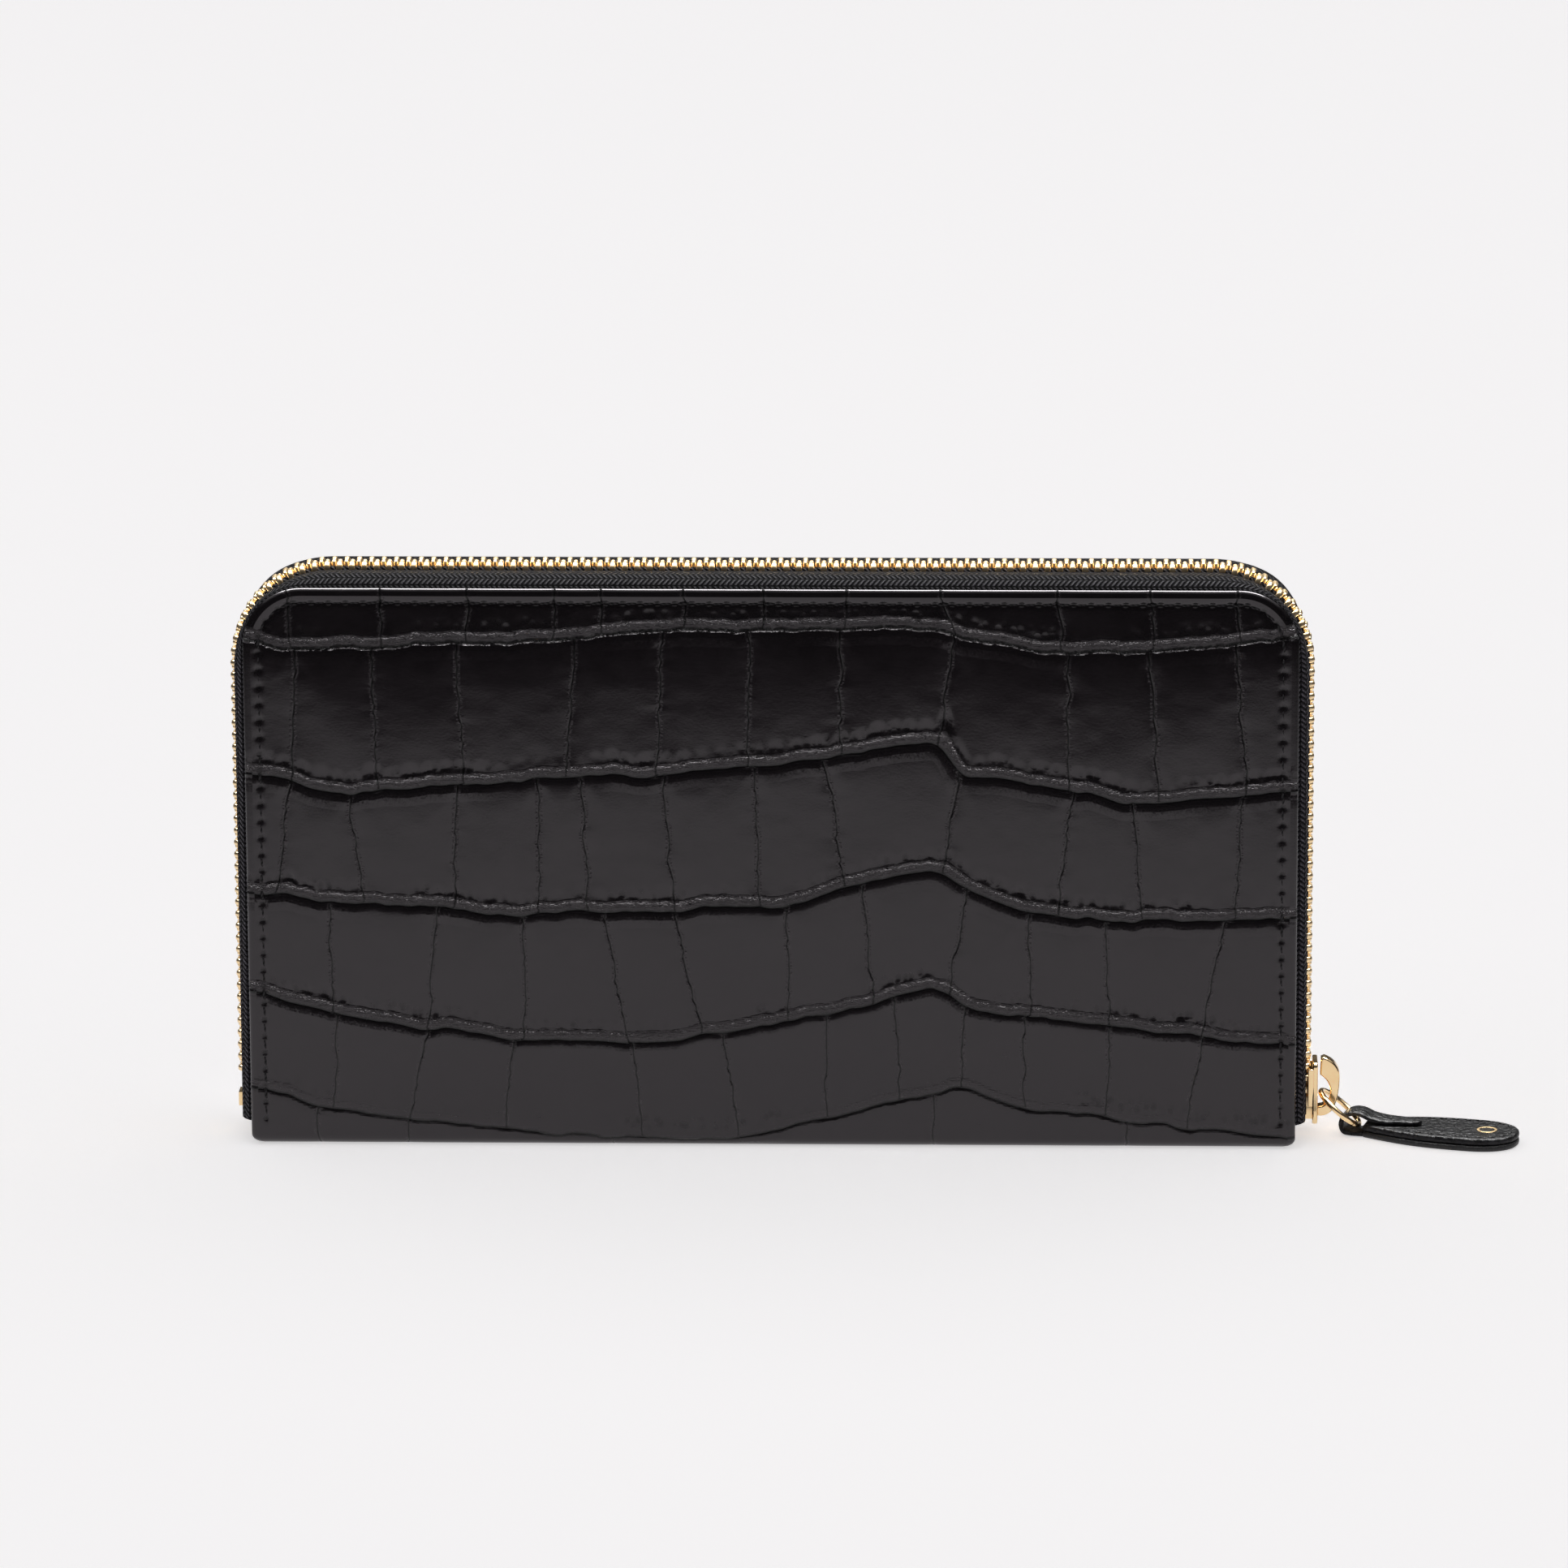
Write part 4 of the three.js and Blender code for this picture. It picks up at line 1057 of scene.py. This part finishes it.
def coin_zip():
    """The coin pocket's own zip: two tapes from the walls' tops to the chain, and two rows of teeth."""
    chain_z = sum(end[2] for end in span("coin_slider_body")) / 2
    wall_top = span("coin_pocket_front_wall")[1][2]
    first = span("coin_zip_front_teeth")[0][0] + 1
    parked = first + 2 * 77 - 5
    for side, name in SIDES:
        section = [(4.35, wall_top - 6), (4.35, wall_top + 0.2), (4.2, wall_top + 0.9), (3.8, chain_z - 0.1)]
        section += [(3.4, chain_z + 0.2), (2.4, chain_z + 0.22), (2.0, chain_z + 0.55), (1.7, chain_z + 0.55)]
        section += [(1.5, chain_z), (1.7, chain_z - 0.55), (2.0, chain_z - 0.55), (2.4, chain_z - 0.2)]
        section += [(3.4, chain_z - 0.25), (3.7, wall_top + 0.8), (3.9, wall_top), (3.9, wall_top - 6)]
        low, high = span(f"coin_zip_{name}_tape")
        stations = np.linspace(low[0], high[0], 60)
        points, faces = tube([[(x, side * y, z) for y, z in section] for x in stations])
        run = [(x, across, 0) for x in stations for across in travelled(section)]
        node, values = [f"coin_zip_{name}_tape"], {"run": run}
        add_mesh(f"coin_{name}_tape", "spine", points, faces, TAPE, node, values)
        start = first + (0 if side < 0 else PITCH / 2)
        spots = [(x, chain_z, math.pi / 2) for x in np.arange(start, parked - PITCH / 2, PITCH)]
        teeth_row(f"coin_{name}_teeth", COIN_ZIP, side, spots, "spine", f"coin_zip_{name}_teeth")


# ---------------------------------------------------------------- ring and puller


def pull_ring():
    """A round wire ring, with a fine butt joint where its ends meet."""
    hung, held = pivot("ring_swing"), pivot("puller_swing")
    centre = (hung + held) / 2
    radius = float(np.linalg.norm(held - hung)) / 2
    down = (held - hung) / (2 * radius)
    over = np.array([0, 1.0, 0])
    rings = []
    for turn in np.linspace(0.02, 2 * math.pi - 0.02, 72):
        reach = math.cos(turn - 0.9) * down + math.sin(turn - 0.9) * over
        lift = np.cross(down, over)
        wire = 0.55 - 0.05 * (bump_at(turn, 0.03) + bump_at(turn - 2 * math.pi, 0.03))
        rings.append([
            centre + reach * (radius + wire * math.cos(t)) + lift * wire * math.sin(t) for t in around(16)
        ])
    points, faces = tube(rings)
    add_mesh("ring_wire", "ring", points, faces, GOLD, ["pull_ring"], sharp=60)


def ribbon(path, widths, thick):
    """A band with rounded edges along a path of (x, z), as wide as widths says in Y."""
    path = np.array(path, float)
    heading = np.gradient(path, axis=0)
    heading /= np.linalg.norm(heading, axis=1)[:, None]
    rings = []
    for (x, z), (dx, dz), width in zip(path, heading, widths):
        half, rise = width / 2, thick / 2
        ring = []
        for t in around(20):
            c = math.copysign(abs(math.cos(t)) ** 0.35, math.cos(t))
            s = math.copysign(abs(math.sin(t)) ** 0.7, math.sin(t))
            ring.append((x - dz * rise * s, half * c, z + dx * rise * s))
        rings.append(ring)
    return tube(rings)


def smooth_path(points, steps=8):
    """A curve through points, by Catmull-Rom."""
    points = np.array(points, float)
    padded = np.concatenate([[2 * points[0] - points[1]], points, [2 * points[-1] - points[-2]]])
    path = []
    for a, b, c, d in zip(padded, padded[1:], padded[2:], padded[3:]):
        square, cube = 2 * a - 5 * b + 4 * c - d, 3 * b - a - 3 * c + d
        for t in np.linspace(0, 1, steps, endpoint=False):
            path.append(0.5 * (2 * b + (c - a) * t + square * t**2 + cube * t**3))
    path.append(points[-1])
    return np.array(path)


def puller_shape():
    """The puller's outline: a narrow neck by the ring that widens to a rounded tongue."""
    neck, half, tip = 1.3, 6.75, 30.5
    return outline(
        (neck, -2.7), ((neck + 7, 1.4 - half), (neck + 10, -half), (tip - 9, -half)),
        ((tip - 3, -half), (tip, -4), (tip, 0)), ((tip, 4), (tip - 3, half), (tip - 9, half)),
        ((neck + 10, half), (neck + 7, half - 1.4), (neck, 2.7)), steps=16,
    )


def puller_layers(axes, floor, layer):
    """The lower and the upper leather, both with softly turned edges."""
    for name, low, material, slot in (
        ("lower", floor, CALF, "plain_leather"),
        ("upper", floor + layer + 0.05, PULLER_LEATHER, "croc_leather"),
    ):
        points, faces = plate(puller_shape(), low, low + layer, 0.5)
        points, node = framed(points, *axes), [f"puller_{name}_leather"]
        piece = add_mesh(f"puller_{name}", "puller", points, faces, material, node, sharp=50)
        piece.modifiers.new("even", "WEIGHTED_NORMAL").keep_sharp = True


def puller_loop(axes, top, under):
    """The strap: from its pointed end on the puller's top, round the ring and back underneath."""
    path = smooth_path([
        (12, top + 0.40), (10.8, top + 0.45), (8.5, top + 0.46), (6.4, top + 0.48), (4.6, top + 0.56),
        (2.6, 1.48), (0.6, 2.25), (-1.2, 2.2), (-2.6, 1.35), (-3.0, 0.0), (-2.5, under + 0.3),
        (-1.2, under), (1.2, under), (4.5, under),
    ])
    reach = travelled(path)
    nose = np.sqrt(np.clip(1 - (1 - np.clip(reach / 1.6, 0, 1)) ** 2, 0.01, 1))
    widths = nose * (3.2 + 2.0 * np.clip((reach - 1) / 6.5, 0, 1))
    points, faces = ribbon(path, widths, 0.95)
    points, node = framed(points, *axes), ["puller_strap"]
    add_mesh("puller_loop", "puller", points, faces, PULLER_LEATHER, node, sharp=70)


def offset_path(shape, distance):
    """Points moved inwards from an outline, and the outline's heading at each."""
    shape = np.array(shape, float)
    heading = np.gradient(shape, axis=0)
    heading /= np.linalg.norm(heading, axis=1)[:, None]
    return shape + distance * np.stack([-heading[:, 1], heading[:, 0]], -1), heading


def puller_seam(axes, top):
    """Stitches a little in from the puller's edge, all the way round its tongue."""
    path, heading = offset_path(puller_shape(), 1.3)
    tongue = path[:, 0] > 8.8
    path, heading = path[tongue], heading[tongue]
    reach = travelled(path)
    count = round(reach[-1] / 2.3)
    _, x_axis, y_axis, z_axis = axes
    places = []
    for at in (np.arange(count) + 0.5) * reach[-1] / count:
        x, y = (np.interp(at, reach, values) for values in path.T)
        ahead = heading[np.searchsorted(reach, at) - 1]
        along = np.array(x_axis) * ahead[0] + np.array(y_axis) * ahead[1]
        places.append((framed([(x, y, top - 0.02)], *axes)[0], z_axis, np.cross(z_axis, along), along))
    stitch_row("puller_seam", places, 1.7, 0.45, "puller", ["puller_stitching"])


def puller_foil_ring(axes, top):
    """A plain ring of gold foil pressed into the puller's top."""
    turns = around(48)
    outer, inner = ([(r * math.cos(t) + 24.5, r * math.sin(t)) for t in turns] for r in (1.9, 1.45))
    points, faces = plate(outer, top - 0.1, top + 0.06, 0.03, [inner])
    points = framed(points, *axes)
    add_mesh("puller_foil_ring", "puller", points, faces, FOIL, (), sharp=50)


def puller():
    """The leather pull, lying down and turned a little towards the front."""
    origin = pivot("puller_swing")
    turn = math.radians(-14)
    cos, sin = math.cos(turn), math.sin(turn)
    axes = (origin, (cos, sin, 0), (-sin, cos, 0), (0, 0, 1))
    floor = span("puller_lower_leather")[0][2] - origin[2]
    layer = 1.25
    top = floor + 2 * layer + 0.1
    puller_layers(axes, floor, layer)
    puller_loop(axes, top, floor + 0.5)
    puller_seam(axes, top)
    puller_foil_ring(axes, top)


# ---------------------------------------------------------------- inside


def flat_seam(name, x_from, x_to, z, face, body, pitch=3.0):
    """A straight line of stitches on an upright face, given as (y, the way it faces)."""
    along = (1, 0, 0.06 * math.copysign(1, face[0]))
    places = []
    for i in range(round((x_to - x_from) / pitch)):
        places.append(((x_from + (i + 0.5) * pitch, face[0], z), (0, face[1], 0), (0, 0, 1), along))
    stitch_row(name, places, pitch * 0.72, 0.36, body)


def pocket_details(side, name):
    """A rolled top edge and a line of stitches on each layer of pockets."""
    for layer in ("slip_pocket", "card_strip_top", "card_strip_middle", "card_strip_bottom"):
        low, high = span(f"{name}_{layer}")
        near = low[1] if side > 0 else high[1]
        middle = (low[1] + high[1]) / 2
        rings = []
        for x in np.linspace(low[0] + 1.6, high[0] - 1.6, 50):
            sway = 0.04 * float(noise(x, 0, 9, 31))
            ring = [
                (x, middle + 0.34 * math.cos(t), high[2] - 0.22 + sway + 0.42 * math.sin(t))
                for t in around(12)
            ]
            rings.append(ring)
        points, faces = tube(rings)
        body = f"{name}_cover"
        add_mesh(f"{name}_{layer}_edge", body, points, faces, CALF, (), sharp=60)
        ends = (low[0] + 3, high[0] - 3)
        flat_seam(f"{name}_{layer}_seam", *ends, high[2] - 2.2, (near, -side), body)


def coin_details():
    """Stitches along the top and down both ends of the coin pocket's walls."""
    for side, name in SIDES:
        low, high = span(f"coin_pocket_{name}_wall")
        face = high[1] if side > 0 else low[1]
        flat_seam(f"coin_{name}_top_seam", low[0] + 4, high[0] - 4, high[2] - 1.8, (face, side), "spine")
        for end, end_name in ((-1, "left"), (1, "right")):
            x = high[0] - 1.6 if end > 0 else low[0] + 1.6
            heights = np.arange(8, high[2] - 4, 3.0)
            spots = [((x, face, z), (0, side, 0), (1, 0, 0), (0, 0, 1)) for z in heights]
            stitch_row(f"coin_{name}_{end_name}_seam", spots, 2.2, 0.36, "spine")


def gusset(side, name, end, end_name):
    """A leather fan folded once, sewn to the coin pocket's wall and to a cover's card strips."""
    wall, card = 5.24, 6.46
    columns, rows = 25, 24
    low, high = 3.4, 82.0
    points = []
    for row in range(rows):
        rise = row / (rows - 1)
        z = low + (high - low) * rise
        sewn = 86.5 - 14 * rise
        crease = 94 + 0.3 * math.sin(rise * 5)
        for column in range(columns):
            t = column / (columns - 1)
            swing = 1 - abs(2 * t - 1) ** 1.35
            x = sewn + (crease - sewn) * swing
            y = wall + (card - wall) * (3 * t**2 - 2 * t**3)
            points.append((end * x, side * y, z))
    piece = add_mesh(
        f"gusset_{name}_{end_name}_fan", None, points, grid_faces(rows, columns, flip=side * end > 0), GUSSET,
        [f"gusset_{name}_{end_name}"], sharp=70,
    )
    thick = piece.modifiers.new("thickness", "SOLIDIFY")
    thick.thickness = 0.00022
    thick.offset = 0
    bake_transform(piece)


def dress_cad_nodes():
    """Materials and softened edges for the CAD nodes that stay."""
    looks = {"board": BOARD, "lining": LINING, "stop": GOLD}
    looks.update(dict.fromkeys(("pocket", "strip", "wall", "binding"), CALF))
    for name, node in frame["nodes"].items():
        look = next((looks[key] for key in looks if key in name), None)
        if look is None or node.hide_render:
            continue
        node.data.materials.clear()
        node.data.materials.append(look)
        soft = node.modifiers.new("soft_edges", "BEVEL")
        soft.width = 0.00016
        soft.segments = 2
        soft.limit_method = "ANGLE"
        soft.angle_limit = math.radians(40)


# ---------------------------------------------------------------- camera, light and floor


def camera():
    """Almost straight on, from a little above."""
    azimuth, elevation, roll = math.radians(-1.93), math.radians(14.5), math.radians(-0.27)
    look = Vector((
        math.sin(azimuth) * math.cos(elevation), math.cos(azimuth) * math.cos(elevation), -math.sin(elevation)
    ))
    lens = bpy.data.cameras.new("camera")
    lens.lens = 222
    lens.sensor_width = 36
    eye = bpy.data.objects.new("camera", lens)
    bpy.context.scene.collection.objects.link(eye)
    target = Vector((0.0021, 0, 0.0673))
    turned = look.to_track_quat("-Z", "Y").to_matrix().to_4x4() @ Matrix.Rotation(roll, 4, "Z")
    eye.matrix_world = Matrix.Translation(target - 1.8 * look) @ turned
    bpy.context.scene.camera = eye


def soft_light(name, place, width, depth, watts):
    """A rectangular light that faces straight down."""
    lamp = bpy.data.lights.new(name, "AREA")
    lamp.shape = "RECTANGLE"
    lamp.size, lamp.size_y = width, depth
    lamp.energy = watts
    holder = bpy.data.objects.new(name, lamp)
    holder.location = place
    bpy.context.scene.collection.objects.link(holder)
    return holder


def stage():
    """A pale floor, one large soft light above and behind, and a dark room that only reflections see."""
    scene = bpy.context.scene
    scene.view_settings.view_transform = "Standard"
    scene.world = bpy.data.worlds.new("room")
    scene.world.use_nodes = True
    scene.world.node_tree.nodes["Background"].inputs["Color"].default_value = (0.020, 0.020, 0.021, 1)

    far = 7000
    corners = [(-far, -far, 0), (far, -far, 0), (far, far, 0), (-far, far, 0)]
    add_mesh("floor", None, corners, [[0, 1, 2, 3]], studio_floor("studio_floor"))

    soft_light("softbox", (0, 0.3, 2.4), 6.0, 6.0, 62)
    strip = soft_light("gloss_strip", (0, 0.45, 1.5), 1.8, 1.6, 200)
    strip.visible_diffuse = False

    # The lit part of the floor fades out a little way off: beyond it, shiny surfaces reflect a dark room.
    turns = around(96)
    rings = [[(reach * math.cos(t), reach * math.sin(t), 0.5) for t in turns] for reach in (260, 6000)]
    shade = studio_floor("reflected_floor", darkens=True)
    surround = add_mesh("reflected_room", None, np.concatenate(rings), grid_faces(2, 96, around=True), shade)
    for ray in ("camera", "diffuse", "shadow", "transmission", "volume_scatter"):
        setattr(surround, f"visible_{ray}", False)


# ---------------------------------------------------------------- assembly

camera()
for side, name in SIDES:
    cover_leather(side, name)
    cover_seam(side, name)
    main_tape(side, name)
    main_teeth(side, name)
    pocket_details(side, name)
    for end, end_name in ((-1, "left"), (1, "right")):
        gusset(side, name, end, end_name)
spine_leather()
main_slider()
coin_slider()
coin_zip()
coin_details()
pull_ring()
puller()
dress_cad_nodes()
stage()
